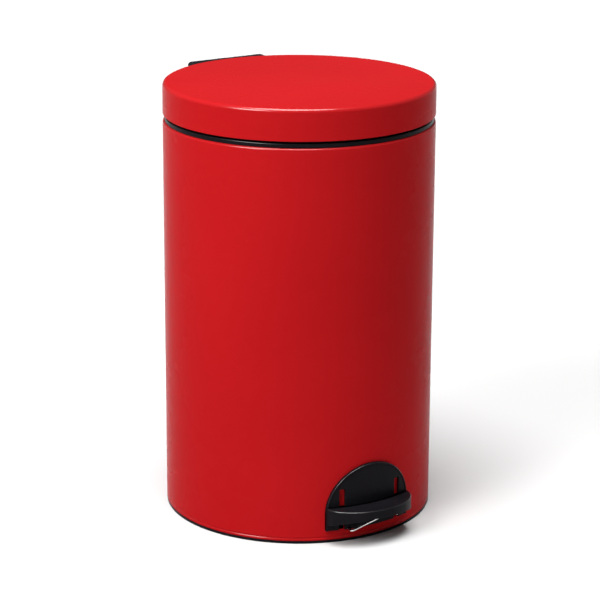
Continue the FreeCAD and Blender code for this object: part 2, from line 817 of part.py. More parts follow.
def make_guard_nuts():
    """Push-on nuts that hold the guard's studs from inside the shell."""
    nuts = []
    for side in (1, -1):
        across = signed("guard_stud_x", side)
        start = "0.1 - sqrt((can_radius - shell_wall)^2 - (guard_stud_x + 5)^2)"
        disc = cylinder(f"guard_nut_{side + 1}_disc", "5", "1", (across, start, "guard_stud_z"),
                        (0, 1, 0))
        hole = cylinder(f"guard_nut_{side + 1}_hole", "guard_stud_radius + 0.02", "3",
                        (across, f"{start} - 1", "guard_stud_z"), (0, 1, 0))
        nuts.append(boolean("Cut", f"guard_nut_{side + 1}", disc, hole))
    group("guard_nuts", nuts)


# ---------------------------------------------------------------- pedal
def make_pedal_pad():
    """Moulded tread, hollow from below, with two ribs that reach into the can."""
    body = new_body("pedal_pad")
    tread = new_sketch(body, "XY_Plane", "pad_heel_low")
    draw_ellipse(tread, "-pad_centre", "pad_half", "pad_reach")
    pad(body, tread, "pad_top - pad_heel_low")
    under = new_sketch(body, "YZ_Plane")
    nose = "-(pad_centre + pad_reach)"
    draw_outline(under, [
        (nose + " - 5", "pad_heel_low - 1"),
        (nose + " - 5", "pad_nose_low + 1.6"),
        (nose, "pad_nose_low"),
        ("-pad_heel_y", "pad_heel_low"),
        ("-pad_heel_y", "pad_heel_low - 1"),
    ])
    pocket(body, under, "4 * pad_half")
    hollow = new_sketch(body, "XY_Plane")
    draw_ellipse(hollow, "-pad_centre", "pad_half - pad_wall", "pad_reach - pad_wall")
    pocket(body, hollow, "pad_top - pad_wall", sides="One side", backwards=True)
    close_pad_back(body)
    for side in (1, -1):
        near = signed("guard_slot_x", side) + " - rib_wall / 2"
        rib = new_sketch(body, "YZ_Plane", near)
        draw_outline(rib, [
            ("-pad_back - 2", "rib_low"),
            ("-rib_end", "rib_low"),
            ("-rib_end", "rib_top"),
            ("-pad_back - 2", "rib_top"),
        ])
        pad(body, rib, "rib_wall")
    holes = new_sketch(body, "YZ_Plane")
    for y, z in pad_rivet_places():
        draw_circle(holes, y, z, "1.6")
    pocket(body, holes, "4 * pad_half")
    round_edges(body, "pad_round", lambda edge: edge_is_at(edge, "z", "pad_top", 0.01)
                and edge.BoundBox.YMin < -value("pad_back") - 5)


def close_pad_back(body):
    """A wall along the guard's curve closes the tread's back, and the curve itself is cleared."""
    wall = new_sketch(body, "XY_Plane", "pad_back_low")
    side, half_side = "pad_half - 2.5", "pad_half / 2"
    back = "-(pad_back + 2.2)"
    draw_outline(wall, [
        (f"-({side})", "-pad_centre"),
        (side, "-pad_centre"),
        (side, f"{back} + 7.4"),
        (half_side, f"{back} + 1.5"),
        ("0", back),
        (f"-({half_side})", f"{back} + 1.5"),
        (f"-({side})", f"{back} + 7.4"),
    ])
    pad(body, wall, "pad_top - pad_back_low - 1")
    clear = new_sketch(body, "XY_Plane")
    draw_circle(clear, "0", "0", "pad_back")
    pocket(body, clear, "pad_top + 1", sides="One side", backwards=True)


def pad_rivet_places():
    return [("-rib_end - 5", "rib_top - 5"), ("-rib_end - 17", "rib_top - 5")]


def make_pad_rivets():
    """Cross rivets through the pad's ribs and the lever's tabs."""
    rivets = []
    for side in (1, -1):
        for number, (y, z) in enumerate(pad_rivet_places()):
            outside = signed("guard_slot_x + rib_wall / 2 + 1.2", side)
            name = f"pad_rivet_{side + 1}_{number}"
            length = "rib_wall + tab_wall + 1.4"
            rivets.append(headed_pin(name, (outside, y, z), (-side, 0, 0), "2.6", "1.2", "1.5",
                                     length))
    group("pad_rivets", rivets)


def make_pedal_wire():
    """Bright spring wire: out of the shell below the guard, under the tread, hooked behind it."""
    route = [
        point("-wire_x", "7 - can_radius", "wire_z"),
        point("-wire_x", "-(can_radius + 6.4)", "wire_z"),
        point("5", "-(can_radius + 13)", "wire_z + 11.9"),
        point("28.6", "-(can_radius + 9)", "wire_z + 13.4"),
        point("29.6", "-(can_radius + 6.6)", "wire_z + 7.6"),
    ]
    made = doc.addObject("Part::Feature", "pedal_wire")
    made.Shape = bent_rod(route, [3, 8, 2.4], value("wire_radius"))
    made.Placement = Placement()
    as_node(made, "pedal_wire")


def make_pedal_lever():
    """Steel channel with a pivot sleeve, a slotted fork at the back and two tabs at the front."""
    body = new_body("pedal_lever")
    side = new_sketch(body, "YZ_Plane")
    draw_outline(side, [
        ("-118", "20"),
        ("-pivot_y", "pivot_z - 7"),
        ("lever_slot_front - 10", "lever_pin_z - 6"),
        ("lever_end", "lever_pin_z - 6"),
        ("lever_end", "lever_pin_z + 6"),
        ("lever_slot_front - 10", "lever_pin_z + 6.5"),
        ("-pivot_y", "pivot_z + 8"),
        ("-118", "31"),
    ])
    pad(body, side, "2 * lever_half", sides="Symmetric")
    inside = new_sketch(body, "YZ_Plane")
    draw_outline(inside, [
        ("-125", "0"),
        ("150", "0"),
        ("150", "40"),
        ("lever_slot_front - 10", "40"),
        ("lever_slot_front - 10", "lever_pin_z + 6.5 - lever_wall"),
        ("-pivot_y", "pivot_z + 8 - lever_wall"),
        ("-125", "31 - lever_wall"),
    ])
    pocket(body, inside, "2 * (lever_half - lever_wall)")
    sleeve = new_sketch(body, "YZ_Plane")
    draw_circle(sleeve, "-pivot_y", "pivot_z", "sleeve_radius")
    pad(body, sleeve, "2 * sleeve_half", sides="Symmetric")
    cross = new_sketch(body, "YZ_Plane")
    draw_outline(cross, [("-124", "24"), ("-102", "24"), ("-102", "26"), ("-124", "26")])
    pad(body, cross, "2 * tab_far", sides="Symmetric")
    for hand in (1, -1):
        near = "tab_far - tab_wall" if hand > 0 else "-tab_far"
        tab = new_sketch(body, "YZ_Plane", near)
        draw_outline(tab, [("-tab_front", "20.5"), ("-102", "20.5"), ("-102", "34"),
                           ("-tab_front", "34")])
        pad(body, tab, "tab_wall")
    holes = new_sketch(body, "YZ_Plane")
    draw_circle(holes, "-pivot_y", "pivot_z", "pivot_radius + pin_gap")
    for y, z in pad_rivet_places():
        draw_circle(holes, y, z, "1.6")
    pocket(body, holes, "4 * tab_far")
    slot = new_sketch(body, "YZ_Plane")
    low, high = "lever_pin_z + 0.15 - lever_slot_half", "lever_pin_z + 0.15 + lever_slot_half"
    front, back = "lever_slot_front - lever_slot_half", "lever_slot_back + lever_slot_half"
    draw_outline(slot, [
        (front, low, "lever_slot_half - 0.01"),
        (back, low, "lever_slot_half - 0.01"),
        (back, high, "lever_slot_half - 0.01"),
        (front, high, "lever_slot_half - 0.01"),
    ])
    pocket(body, slot, "4 * lever_half")


def make_lever_bracket():
    """U-shaped steel bracket, riveted to the base plate, with an ear at each end of the sleeve."""
    body = new_body("lever_bracket")
    floor = "shell_low + plate_wall"
    front, back = "-(pivot_y + bracket_length / 2)", "-(pivot_y - bracket_length / 2)"
    outside = new_sketch(body, "YZ_Plane")
    draw_outline(outside, [(front, floor), (back, floor), (back, "bracket_top", "8"),
                           (front, "bracket_top", "8")])
    pad(body, outside, "2 * (bracket_ear_near + bracket_wall)", sides="Symmetric")
    cut_box(body, "bracket_ear_near", floor + " + bracket_wall", "bracket_top + 1",
            front + " - 1", back + " + 1")
    bore = new_sketch(body, "YZ_Plane")
    draw_circle(bore, "-pivot_y", "pivot_z", "pivot_radius + 0.02")
    pocket(body, bore, "4 * bracket_ear_near")
    holes = new_sketch(body, "XY_Plane")
    for x, y in bracket_rivet_places():
        draw_circle(holes, x, y, "2.1")
    pocket(body, holes, "30")


def make_bracket_rivets():
    rivets = []
    for number, (x, y) in enumerate(bracket_rivet_places()):
        place = (x, y, "shell_low + plate_wall + bracket_wall + 1.5")
        rivets.append(headed_pin(f"bracket_rivet_{number}", place, (0, 0, -1), "3.6", "1.5", "2",
                                 "bracket_wall + plate_wall"))
    group("bracket_rivets", rivets)


def make_lever_pivot_pin():
    reach = "bracket_ear_near + bracket_wall + 3"
    pin = cylinder("lever_pivot_pin", "pivot_radius", f"2 * ({reach})",
                   (f"-({reach})", "-pivot_y", "pivot_z"), (1, 0, 0))
    as_node(pin, "lever_pivot_pin")


def make_pivot_clips():
    clips = []
    for side in (1, -1):
        start = signed("bracket_ear_near + bracket_wall + 0.3", side)
        place = (start, "-pivot_y", "pivot_z")
        disc = cylinder(f"pivot_clip_{side + 1}_disc", "5.5", "1", place, (side, 0, 0))
        hole = cylinder(f"pivot_clip_{side + 1}_hole", "pivot_radius + 0.02", "2",
                        (f"{start} - {0.5 * side}", "-pivot_y", "pivot_z"), (side, 0, 0))
        clips.append(boolean("Cut", f"pivot_clip_{side + 1}", disc, hole))
    group("pivot_clips", clips)


# ---------------------------------------------------------------- push rod
def make_push_rod():
    """Straight rod with a flattened eye at each end."""
    body = new_body("push_rod")
    shaft = new_sketch(body, "XY_Plane", "lever_pin_z + 3")
    draw_circle(shaft, "0", CRANK_Y, "rod_radius")
    pad(body, shaft, f"{CRANK_Z} - lever_pin_z - 6")
    for height in (CRANK_Z, "lever_pin_z"):
        eye = new_sketch(body, "YZ_Plane")
        draw_circle(eye, CRANK_Y, height, "rod_eye_radius")
        pad(body, eye, "2 * rod_eye_half", sides="Symmetric")
    for height in (CRANK_Z, "lever_pin_z"):
        hole = new_sketch(body, "YZ_Plane")
        draw_circle(hole, CRANK_Y, height, "joint_pin_radius + 0.02")
        pocket(body, hole, "4 * rod_eye_half")


def make_rod_pins():
    """Headed cross pins: through the lid's crank at the top and the lever's fork at the bottom."""
    for label, half, height in (("crank_pin", "lid_arm_half", CRANK_Z),
                                ("lever_pin", "lever_half", "lever_pin_z")):
        place = (f"-({half} + 1.8)", CRANK_Y, height)
        pin = headed_pin(label, place, (1, 0, 0), "4", "1.5", "joint_pin_radius",
                         f"2 * ({half}) + 3.2")
        as_node(pin, label)


def make_rod_pin_clips():
    clips = []
    for name, half, height in (("upper", "lid_arm_half", CRANK_Z),
                               ("lower", "lever_half", "lever_pin_z")):
        start = f"{half} + 0.4"
        disc = cylinder(name + "_clip_disc", "4", "0.8", (start, CRANK_Y, height), (1, 0, 0))
        hole = cylinder(name + "_clip_hole", "joint_pin_radius + 0.02", "2",
                        (f"{start} - 0.5", CRANK_Y, height), (1, 0, 0))
        clips.append(boolean("Cut", name + "_clip", disc, hole))
    group("rod_pin_clips", clips)


def make_rod_guide():
    """Small steel angle welded inside the shell, with a slot that keeps the rod upright."""
    body = new_body("rod_guide")
    back = "sqrt((can_radius - shell_wall)^2 - guide_half^2) - 0.1"
    side = new_sketch(body, "YZ_Plane")
    draw_outline(side, [
        (f"{CRANK_Y} - 11", "guide_height"),
        (back, "guide_height"),
        (back, "guide_height + 16"),
        (f"{back} - guide_wall", "guide_height + 16"),
        (f"{back} - guide_wall", "guide_height + guide_wall"),
        (f"{CRANK_Y} - 11", "guide_height + guide_wall"),
    ])
    pad(body, side, "2 * guide_half", sides="Symmetric")
    slot = new_sketch(body, "XY_Plane", "guide_height")
    half = "rod_radius + 0.6"
    draw_outline(slot, [
        (f"-({half})", f"hinge_y - crank_radius - ({half}) - 0.4", f"{half} - 0.1"),
        (half, f"hinge_y - crank_radius - ({half}) - 0.4", f"{half} - 0.1"),
        (half, f"{CRANK_Y} + {half}", f"{half} - 0.1"),
        (f"-({half})", f"{CRANK_Y} + {half}", f"{half} - 0.1"),
    ])
    pocket(body, slot, "6 * guide_wall")


# ---------------------------------------------------------------- inner bucket and its bail
def make_inner_bucket():
    """Galvanised bucket: a tapered wall, a flat floor set up from the wall's foot, a rolled bead."""
    body = new_body("inner_bucket")
    top = "shoulder_top + rim_flange_wall + bead_gap + bead_radius"
    revolve(body, [
        ("0", "bucket_low + 4"),
        ("bucket_low_radius - bucket_wall", "bucket_low + 4"),
        ("bucket_low_radius - bucket_wall", "bucket_low"),
        ("bucket_low_radius", "bucket_low"),
        ("bucket_top_radius", top),
        ("bucket_top_radius - bucket_wall", top),
        ("bucket_low_radius - bucket_wall", "bucket_low + 4 + bucket_wall"),
        ("0", "bucket_low + 4 + bucket_wall"),
    ])
    bead = new_sketch(body, "XZ_Plane")
    draw_circle(bead, "bead_circle", top, "bead_radius")
    feature(body, "Revolution", bead, ReferenceAxis=(bead, ["V_Axis"]), Angle=360.0)
    holes = new_sketch(body, "YZ_Plane")
    for y, z in ear_rivet_places():
        draw_circle(holes, y, z, "1.6")
    pocket(body, holes, "3 * can_radius")


def ear_rivet_places():
    return [("0", "ear_low + 6"), ("0", "ear_low + 16")]


def make_bucket_ears():
    """Two upright plates inside the bucket's mouth, each with an eye for the bail."""
    ears = []
    for side in (1, -1):
        near = "ear_far - ear_wall"
        low_x, high_x = (near, "ear_far") if side > 0 else ("-ear_far", f"-({near})")
        plate = box(f"ear_plate_{side + 1}", (low_x, "-ear_half", "ear_low"),
                    (high_x, "ear_half", "bail_z"))
        crown = cylinder(f"ear_crown_{side + 1}", "ear_half", "ear_wall", (low_x, "0", "bail_z"),
                         (1, 0, 0))
        solid = boolean("Fuse", f"ear_solid_{side + 1}", plate, crown)
        cutters = [cylinder(f"ear_eye_{side + 1}", "bail_wire_radius + pin_gap", "2 * ear_wall",
                            (f"{low_x} - 0.5", "0", "bail_z"), (1, 0, 0))]
        for number, (y, z) in enumerate(ear_rivet_places()):
            cutters.append(cylinder(f"ear_hole_{side + 1}_{number}", "1.52", "2 * ear_wall",
                                    (f"{low_x} - 0.5", y, z), (1, 0, 0)))
        cutter = fuse_all(f"ear_cutter_{side + 1}", cutters)
        ears.append(boolean("Cut", f"bucket_ear_{side + 1}", solid, cutter))
    group("bucket_ears", ears)


def make_ear_rivets():
    """Rivets through each ear and the bucket's wall, with low heads outside."""
    rivets = []
    for side in (1, -1):
        for number, (y, z) in enumerate(ear_rivet_places()):
            place = (signed("ear_far - ear_wall - 1.2", side), y, z)
            name = f"ear_rivet_{side + 1}_{number}"
            rivets.append(headed_pin(name, place, (side, 0, 0), "3", "1.2", "1.5",
                                     "ear_wall + bucket_wall + 0.9"))
    group("ear_rivets", rivets)


def bail_point(degrees):
    """A point of the bail's bow, degrees round from the front."""
    angle = math.radians(degrees)
    reach = value("bail_radius")
    return Vector(reach * math.sin(angle), -value("bail_bend") - reach * math.cos(angle),
                  value("bail_z"))


def make_bail_wire():
    """Bow of round wire whose ends turn in through the bucket's ears."""
    reach, bend, height = value("bail_radius"), value("bail_bend"), value("bail_z")
    inner_end = value("bail_end")
    right_end = Vector(inner_end, 0, height)
    right_turn = Vector(reach - bend, 0, height)
    slant = bend * (1 - math.sqrt(0.5))
    edges = [
        Part.LineSegment(right_end, right_turn).toShape(),
        Part.Arc(right_turn, Vector(reach - slant, -slant, height),
                 Vector(reach, -bend, height)).toShape(),
        Part.Arc(bail_point(90), bail_point(0), bail_point(-90)).toShape(),
        Part.Arc(Vector(-reach, -bend, height), Vector(slant - reach, -slant, height),
                 Vector(bend - reach, 0, height)).toShape(),
        Part.LineSegment(Vector(bend - reach, 0, height), Vector(-inner_end, 0, height)).toShape(),
    ]
    section = Part.Circle(right_end, Vector(1, 0, 0), value("bail_wire_radius")).toShape()
    made = doc.addObject("Part::Feature", "bail_wire")
    made.Shape = Part.Wire(edges).makePipeShell([Part.Wire([section])], True, True)
    made.Placement = Placement()
    as_node(made, "bail_wire")


def make_bail_grip():
    """Tube grip round the middle of the bow."""
    span = value("grip_half_angle")
    path = Part.Arc(bail_point(-span), bail_point(0), bail_point(span)).toShape()
    tangent = path.tangentAt(path.FirstParameter)
    start = path.valueAt(path.FirstParameter)
    rings = []
    for radius in (value("grip_radius"), value("bail_wire_radius + pin_gap")):
        section = Part.Wire([Part.Circle(start, tangent, radius).toShape()])
        rings.append(Part.Wire([path]).makePipeShell([section], True, True))
    made = doc.addObject("Part::Feature", "bail_grip")
    made.Shape = rings[0].cut(rings[1])
    made.Placement = Placement()
    as_node(made, "bail_grip")


# ---------------------------------------------------------------- build, check and write
def build():
    make_outer_shell()
    make_base_pan()
    make_base_plate()
    make_base_screws()
    make_top_rim()
    make_lid_shell()
    make_lid_hinge_arm()
    make_lid_hinge_cover()
    make_cover_screws()
    make_lid_buffers()
    make_hinge_block()
    make_hinge_screws_and_nuts()
    make_hinge_pin()
    make_pedal_guard()
    make_guard_nuts()
    make_pedal_pad()
    make_pad_rivets()
    make_pedal_wire()
    make_pedal_lever()
    make_lever_bracket()
    make_bracket_rivets()
    make_lever_pivot_pin()
    make_pivot_clips()
    make_push_rod()
    make_rod_pins()
    make_rod_pin_clips()
    make_rod_guide()
    make_inner_bucket()
    make_bucket_ears()
    make_ear_rivets()
    make_bail_wire()
    make_bail_grip()
    doc.recompute()


def check():
    for item in doc.Objects:
        if "Invalid" in item.State or "Error" in item.State:
            raise ValueError(f"{item.Name} failed: {item.State}")
    for node in nodes:
        if node.Shape.isNull() or not node.Shape.isValid():
            raise ValueError(f"{node.Label} has no valid shape")


def write():
    os.makedirs("parts", exist_ok=True)
    for node in nodes:
        node.Shape.exportStep(f"parts/{node.Label}.step")
        print(f"{node.Label}: {len(node.Shape.Solids)} solid(s), {node.Shape.Volume:.0f} mm3")


build()
check()
write()
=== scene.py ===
"""Looks of the step-on waste can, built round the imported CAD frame.

The frame's unit is the metre, with +Z up and the pedal at -Y. Shapes are worked out in millimetres
and scaled by MM when their mesh is made.
"""

import json
import math

import bmesh
import bpy
from mathutils import Matrix, Vector


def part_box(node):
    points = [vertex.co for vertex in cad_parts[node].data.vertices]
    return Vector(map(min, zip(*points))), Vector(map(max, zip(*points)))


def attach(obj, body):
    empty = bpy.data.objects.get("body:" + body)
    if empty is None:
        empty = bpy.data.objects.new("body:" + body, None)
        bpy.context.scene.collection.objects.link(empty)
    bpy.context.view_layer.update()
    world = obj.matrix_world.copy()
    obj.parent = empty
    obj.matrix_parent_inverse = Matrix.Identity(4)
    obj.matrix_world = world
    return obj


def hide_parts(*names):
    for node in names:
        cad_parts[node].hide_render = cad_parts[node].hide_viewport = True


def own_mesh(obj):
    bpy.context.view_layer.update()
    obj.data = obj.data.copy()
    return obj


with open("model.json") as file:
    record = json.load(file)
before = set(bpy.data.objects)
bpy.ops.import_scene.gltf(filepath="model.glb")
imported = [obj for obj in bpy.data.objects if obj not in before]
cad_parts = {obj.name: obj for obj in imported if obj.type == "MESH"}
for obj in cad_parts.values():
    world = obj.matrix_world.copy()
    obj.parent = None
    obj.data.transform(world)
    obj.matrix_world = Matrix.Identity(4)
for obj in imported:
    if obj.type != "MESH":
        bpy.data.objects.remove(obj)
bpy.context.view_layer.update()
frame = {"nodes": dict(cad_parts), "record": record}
nodes = frame["nodes"]
subparts = {entry["node"]: entry["material_slot"] for entry in frame["record"]["subparts"]}
body_of = {node: body for body, members in frame["record"]["behaviour"]["bodies"].items()
           for node in members}
MM = 0.001


def box_mm(node):
    """Lowest and highest corner of a CAD node, in millimetres."""
    low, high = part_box(node)
    return low / MM, high / MM


# ------------------------------------------------------------------ sizes, in millimetres
SHELL_LOW, SHELL_HIGH = (corner.z for corner in box_mm("outer_shell"))
LID_LOW, LID_HIGH = (corner.z for corner in box_mm("lid_shell"))
GUARD_LOW, GUARD_HIGH = (corner.z for corner in box_mm("pedal_guard"))
PAD_HEEL_LOW, PAD_TOP = (corner.z for corner in box_mm("pedal_pad"))
COVER_LOW, COVER_TOP = (corner.z for corner in box_mm("lid_hinge_cover"))
RIM_LIP_LOW, RIM_TOP = (corner.z for corner in box_mm("top_rim"))
CAN_RADIUS = 146.0
SHEET = 0.8
HEM = 1.6
SHOULDER_INNER = 140.5
RIM_FLANGE_TOP = SHELL_HIGH + 3.6
RIM_BRIM_TOP = SHELL_HIGH + 4.6
LID_ROUND = 4.4
GUARD_RADIUS = box_mm("pedal_guard")[1].x
GUARD_CENTRE = GUARD_HIGH - GUARD_RADIUS
GUARD_WALL = 2.9
GUARD_BORDER = 2.2
GUARD_BORDER_RISE = 0.9
SLOT_X = 34.4
SLOT_HALF = 3.3
GUARD_SLOT_TOP = 60.0
SHELL_SLOT_LOW, SHELL_SLOT_TOP = 14.6, 38.5
FIT_GAP = 0.1
PAD_HALF = 52.0
PAD_CENTRE = 140.0
PAD_REACH = 34.6
PAD_NOSE_LOW = 31.6
PAD_HEEL_Y = 142.0
PAD_BACK = 150.4
PAD_BACK_LOW = 26.0
PAD_WALL = 2.8
RIB_HALF = 2.5
RIB_LOW, RIB_TOP, RIB_END = 23.6, 36.0, 112.0
WIRE_RADIUS = 1.3
WIRE_X = 27.2
WIRE_Z = 14.2
COVER_HALF = 49.0
COVER_BACK_HALF = 48.5
COVER_END_ROUND = 5.0
COVER_BACK = box_mm("lid_hinge_cover")[1].y
BUCKET_LOW = box_mm("inner_bucket")[0].z
BUCKET_LOW_RADIUS = 110.0
BUCKET_TOP_RADIUS = 120.0
BEAD_RADIUS = 2.2
BEAD_CIRCLE = 122.0
BUCKET_TOP = box_mm("inner_bucket")[1].z - BEAD_RADIUS
BAIL_Z = 441.5
BAIL_RADIUS = 126.0
BAIL_BEND = 4.0
BAIL_END = 112.0
GRIP_RADIUS = 4.5
GRIP_HALF_ANGLE = math.radians(22)
BAIL_WIRE_RADIUS = 2.0
SHARP_ANGLE = math.radians(32)
HARD_ANGLE = math.radians(35)
WRAP_PITCH = 2.0


# ------------------------------------------------------------------ camera, light and floor
CAMERA_AZIMUTH = math.radians(-32.0)
CAMERA_DISTANCE = 2.498
CAMERA_HEIGHT = 0.9805
CAMERA_PITCH = math.radians(16.79)
CAMERA_ROLL = math.radians(0.25)
CAMERA_LENS = 143.1
CAMERA_SENSOR = 36
CAMERA_SHIFT = 0.0025
CAMERA_REACH = 50
WORLD_STRENGTH = 0.12
FLOOR_SIDE = 16
FLOOR_GREY = 0.54


def make_camera():
    data = bpy.data.cameras.new("camera")
    data.lens = CAMERA_LENS
    data.sensor_width = CAMERA_SENSOR
    data.shift_x = CAMERA_SHIFT
    data.clip_end = CAMERA_REACH
    camera = bpy.data.objects.new("camera", data)
    bpy.context.scene.collection.objects.link(camera)
    place = Vector((CAMERA_DISTANCE * math.sin(CAMERA_AZIMUTH),
                    -CAMERA_DISTANCE * math.cos(CAMERA_AZIMUTH), CAMERA_HEIGHT))
    tilt = Matrix.Rotation(math.pi / 2 - CAMERA_PITCH, 4, "X")
    aim = Matrix.Rotation(CAMERA_AZIMUTH, 4, "Z") @ tilt
    camera.matrix_world = Matrix.Translation(place) @ aim @ Matrix.Rotation(CAMERA_ROLL, 4, "Z")
    bpy.context.scene.camera = camera


def studio_direction(azimuth, elevation):
    """Towards a light, in degrees. The azimuth turns from the camera's side, positive to its right."""
    turn, rise = CAMERA_AZIMUTH + math.radians(azimuth), math.radians(elevation)
    return Vector((math.sin(turn) * math.cos(rise), -math.cos(turn) * math.cos(rise), math.sin(rise)))


def soft_sun(name, azimuth, elevation, softness, strength):
    """A distant soft light."""
    data = bpy.data.lights.new(name, "SUN")
    data.angle = math.radians(softness)
    data.energy = strength
    light = bpy.data.objects.new(name, data)
    bpy.context.scene.collection.objects.link(light)
    light.rotation_mode = "QUATERNION"
    light.rotation_quaternion = studio_direction(azimuth, elevation).to_track_quat("Z", "Y")


def near_panel(name, azimuth, elevation, distance, side, power):
    """A square panel near the can: unlike the suns it lights the top more than the foot."""
    data = bpy.data.lights.new(name, "AREA")
    data.size = side
    data.energy = power
    light = bpy.data.objects.new(name, data)
    bpy.context.scene.collection.objects.link(light)
    back = studio_direction(azimuth, elevation)
    light.location = Vector((0, 0, LID_HIGH * MM / 2)) + back * distance
    light.rotation_mode = "QUATERNION"
    light.rotation_quaternion = back.to_track_quat("Z", "Y")


def make_light():
    world = bpy.data.worlds.new("studio")
    bpy.context.scene.world = world
    world.use_nodes = True
    background = world.node_tree.nodes["Background"]
    background.inputs["Color"].default_value = (1, 1, 1, 1)
    background.inputs["Strength"].default_value = WORLD_STRENGTH
    soft_sun("key", azimuth=-44, elevation=35, softness=24, strength=1.15)
    soft_sun("top", azimuth=-30, elevation=82, softness=40, strength=5.3)
    near_panel("near_key", azimuth=-44, elevation=38, distance=1.3, side=0.5, power=7.6)
    bpy.context.scene.view_settings.view_transform = "Standard"


def make_floor():
    bpy.ops.mesh.primitive_plane_add(size=FLOOR_SIDE)
    floor = bpy.context.object
    floor.name = "floor"
    material = bpy.data.materials.new("floor")
    material.use_nodes = True
    shader = material.node_tree.nodes["Principled BSDF"]
    shader.inputs["Base Color"].default_value = (FLOOR_GREY, FLOOR_GREY, FLOOR_GREY, 1)
    shader.inputs["Roughness"].default_value = 0.9
    shader.inputs["Specular IOR Level"].default_value = 0.1
    floor.data.materials.append(material)


# ------------------------------------------------------------------ materials
class Paint:
    """A node tree under construction: short calls that add and wire nodes."""

    def __init__(self, name):
        self.material = bpy.data.materials.new(name)
        self.material.use_nodes = True
        self.tree = self.material.node_tree
        self.shader = self.tree.nodes["Principled BSDF"]
        self.coords = self.tree.nodes.new("ShaderNodeTexCoord").outputs["Object"]

    def set(self, **numbers):
        for name, number in numbers.items():
            self.shader.inputs[name.replace("_", " ")].default_value = number

    def noise(self, scale, detail, coords=None):
        node = self.tree.nodes.new("ShaderNodeTexNoise")
        node.inputs["Scale"].default_value = scale
        node.inputs["Detail"].default_value = detail
        self.tree.links.new(coords or self.coords, node.inputs["Vector"])
        return node.outputs["Fac"]

    def voronoi(self, scale):
        node = self.tree.nodes.new("ShaderNodeTexVoronoi")
        node.inputs["Scale"].default_value = scale
        self.tree.links.new(self.coords, node.inputs["Vector"])
        return node.outputs["Color"]

    def stretched(self, x, y, z):
        node = self.tree.nodes.new("ShaderNodeMapping")
        node.inputs["Scale"].default_value = (x, y, z)
        self.tree.links.new(self.coords, node.inputs["Vector"])
        return node.outputs["Vector"]

    def ramp(self, fac, stops):
        """A colour ramp; stops are (place, colour), and a colour may be one number for a grey."""
        node = self.tree.nodes.new("ShaderNodeValToRGB")
        elements = node.color_ramp.elements
        while len(elements) < len(stops):
            elements.new(0.5)
        for element, (place, colour) in zip(elements, stops):
            element.position = place
            level = colour if isinstance(colour, tuple) else (colour,) * 3
            element.color = (*level, 1)
        self.tree.links.new(fac, node.inputs["Fac"])
        return node.outputs["Color"]

    def multiply(self, first, second):
        node = self.tree.nodes.new("ShaderNodeMix")
        node.data_type = "RGBA"
        node.blend_type = "MULTIPLY"
        sockets = [socket for socket in node.inputs if socket.enabled]
        sockets[0].default_value = 1.0
        self.tree.links.new(first, sockets[1])
        self.tree.links.new(second, sockets[2])
        return next(socket for socket in node.outputs if socket.enabled)

    def painted_highlight_coat(self, weight):
        """A clear coat where the piece's own surface is neither a wall nor a level top: a painted
        highlight, set by which way the surface faces.
        """
        # Coat weight follows the surface's facing: a painted highlight on the sloped edges.
        split = self.tree.nodes.new("ShaderNodeSeparateXYZ")
        self.tree.links.new(self.coords.node.outputs["Normal"], split.inputs["Vector"])
        upward = split.outputs["Z"]
        stops = [(0.0, 0.0), (0.12, 0.0), (0.3, weight), (0.9, weight), (0.98, 0.0)]
        self.link(self.ramp(upward, stops), "Coat Weight")

    def add_bump(self, height, strength, distance):
        """Bumps stack: each one takes the normal of the one before it."""
        node = self.tree.nodes.new("ShaderNodeBump")
        node.inputs["Strength"].default_value = strength
        node.inputs["Distance"].default_value = distance
        self.tree.links.new(height, node.inputs["Height"])
        normal = self.shader.inputs["Normal"]
        if normal.links:
            self.tree.links.new(normal.links[0].from_socket, node.inputs["Normal"])
        self.tree.links.new(node.outputs["Normal"], normal)

    def link(self, output, name):
        self.tree.links.new(output, self.shader.inputs[name])


def red_paint():
    """Smooth powder coat: even red with a faint drift and a fine orange peel. A clear coat on the
    rolled edges, set by which way the surface faces, makes a painted highlight there."""
    paint = Paint("red_powder_coat")
    paint.set(Specular_IOR_Level=0.012, Coat_Roughness=0.2)
    # Painted highlight: a clear coat on the sloped rolled edges.
    paint.painted_highlight_coat(0.8)
    base = paint.ramp(paint.noise(5.0, 2.0), [(0.3, (0.345, 0.0060, 0.0078)),
                                              (0.7, (0.375, 0.0070, 0.0090))])
    dust = paint.ramp(paint.noise(700.0, 2.0), [(0.35, 0.965), (0.65, 1.0)])
    paint.link(paint.multiply(base, dust), "Base Color")
    paint.link(paint.ramp(paint.noise(14.0, 4.0), [(0.3, 0.24), (0.7, 0.30)]), "Roughness")
    paint.add_bump(paint.noise(170.0, 2.0), 0.05, 0.0005)
    paint.add_bump(paint.noise(900.0, 1.0), 0.03, 0.0002)
    return paint.material


def black_moulding():
    """Fine-textured black plastic, with a clear coat on its sloped edges, set by which way the surface
    faces: a painted highlight.
    """
    paint = Paint("black_moulding")
    paint.set(Specular_IOR_Level=0.035, Coat_Roughness=0.25)
    # Painted highlight: a clear coat on the sloped edges.
    paint.painted_highlight_coat(1.0)
    base = paint.ramp(paint.noise(30.0, 3.0), [(0.3, (0.0058, 0.0052, 0.0066)),
                                               (0.7, (0.0086, 0.0076, 0.0096))])
    speck = paint.ramp(paint.noise(1800.0, 2.0), [(0.3, 0.8), (0.7, 1.0)])
    paint.link(paint.multiply(base, speck), "Base Color")
    paint.link(paint.ramp(paint.noise(55.0, 4.0), [(0.3, 0.26), (0.7, 0.36)]), "Roughness")
    paint.add_bump(paint.noise(1500.0, 3.0), 0.22, 0.0002)
    return paint.material


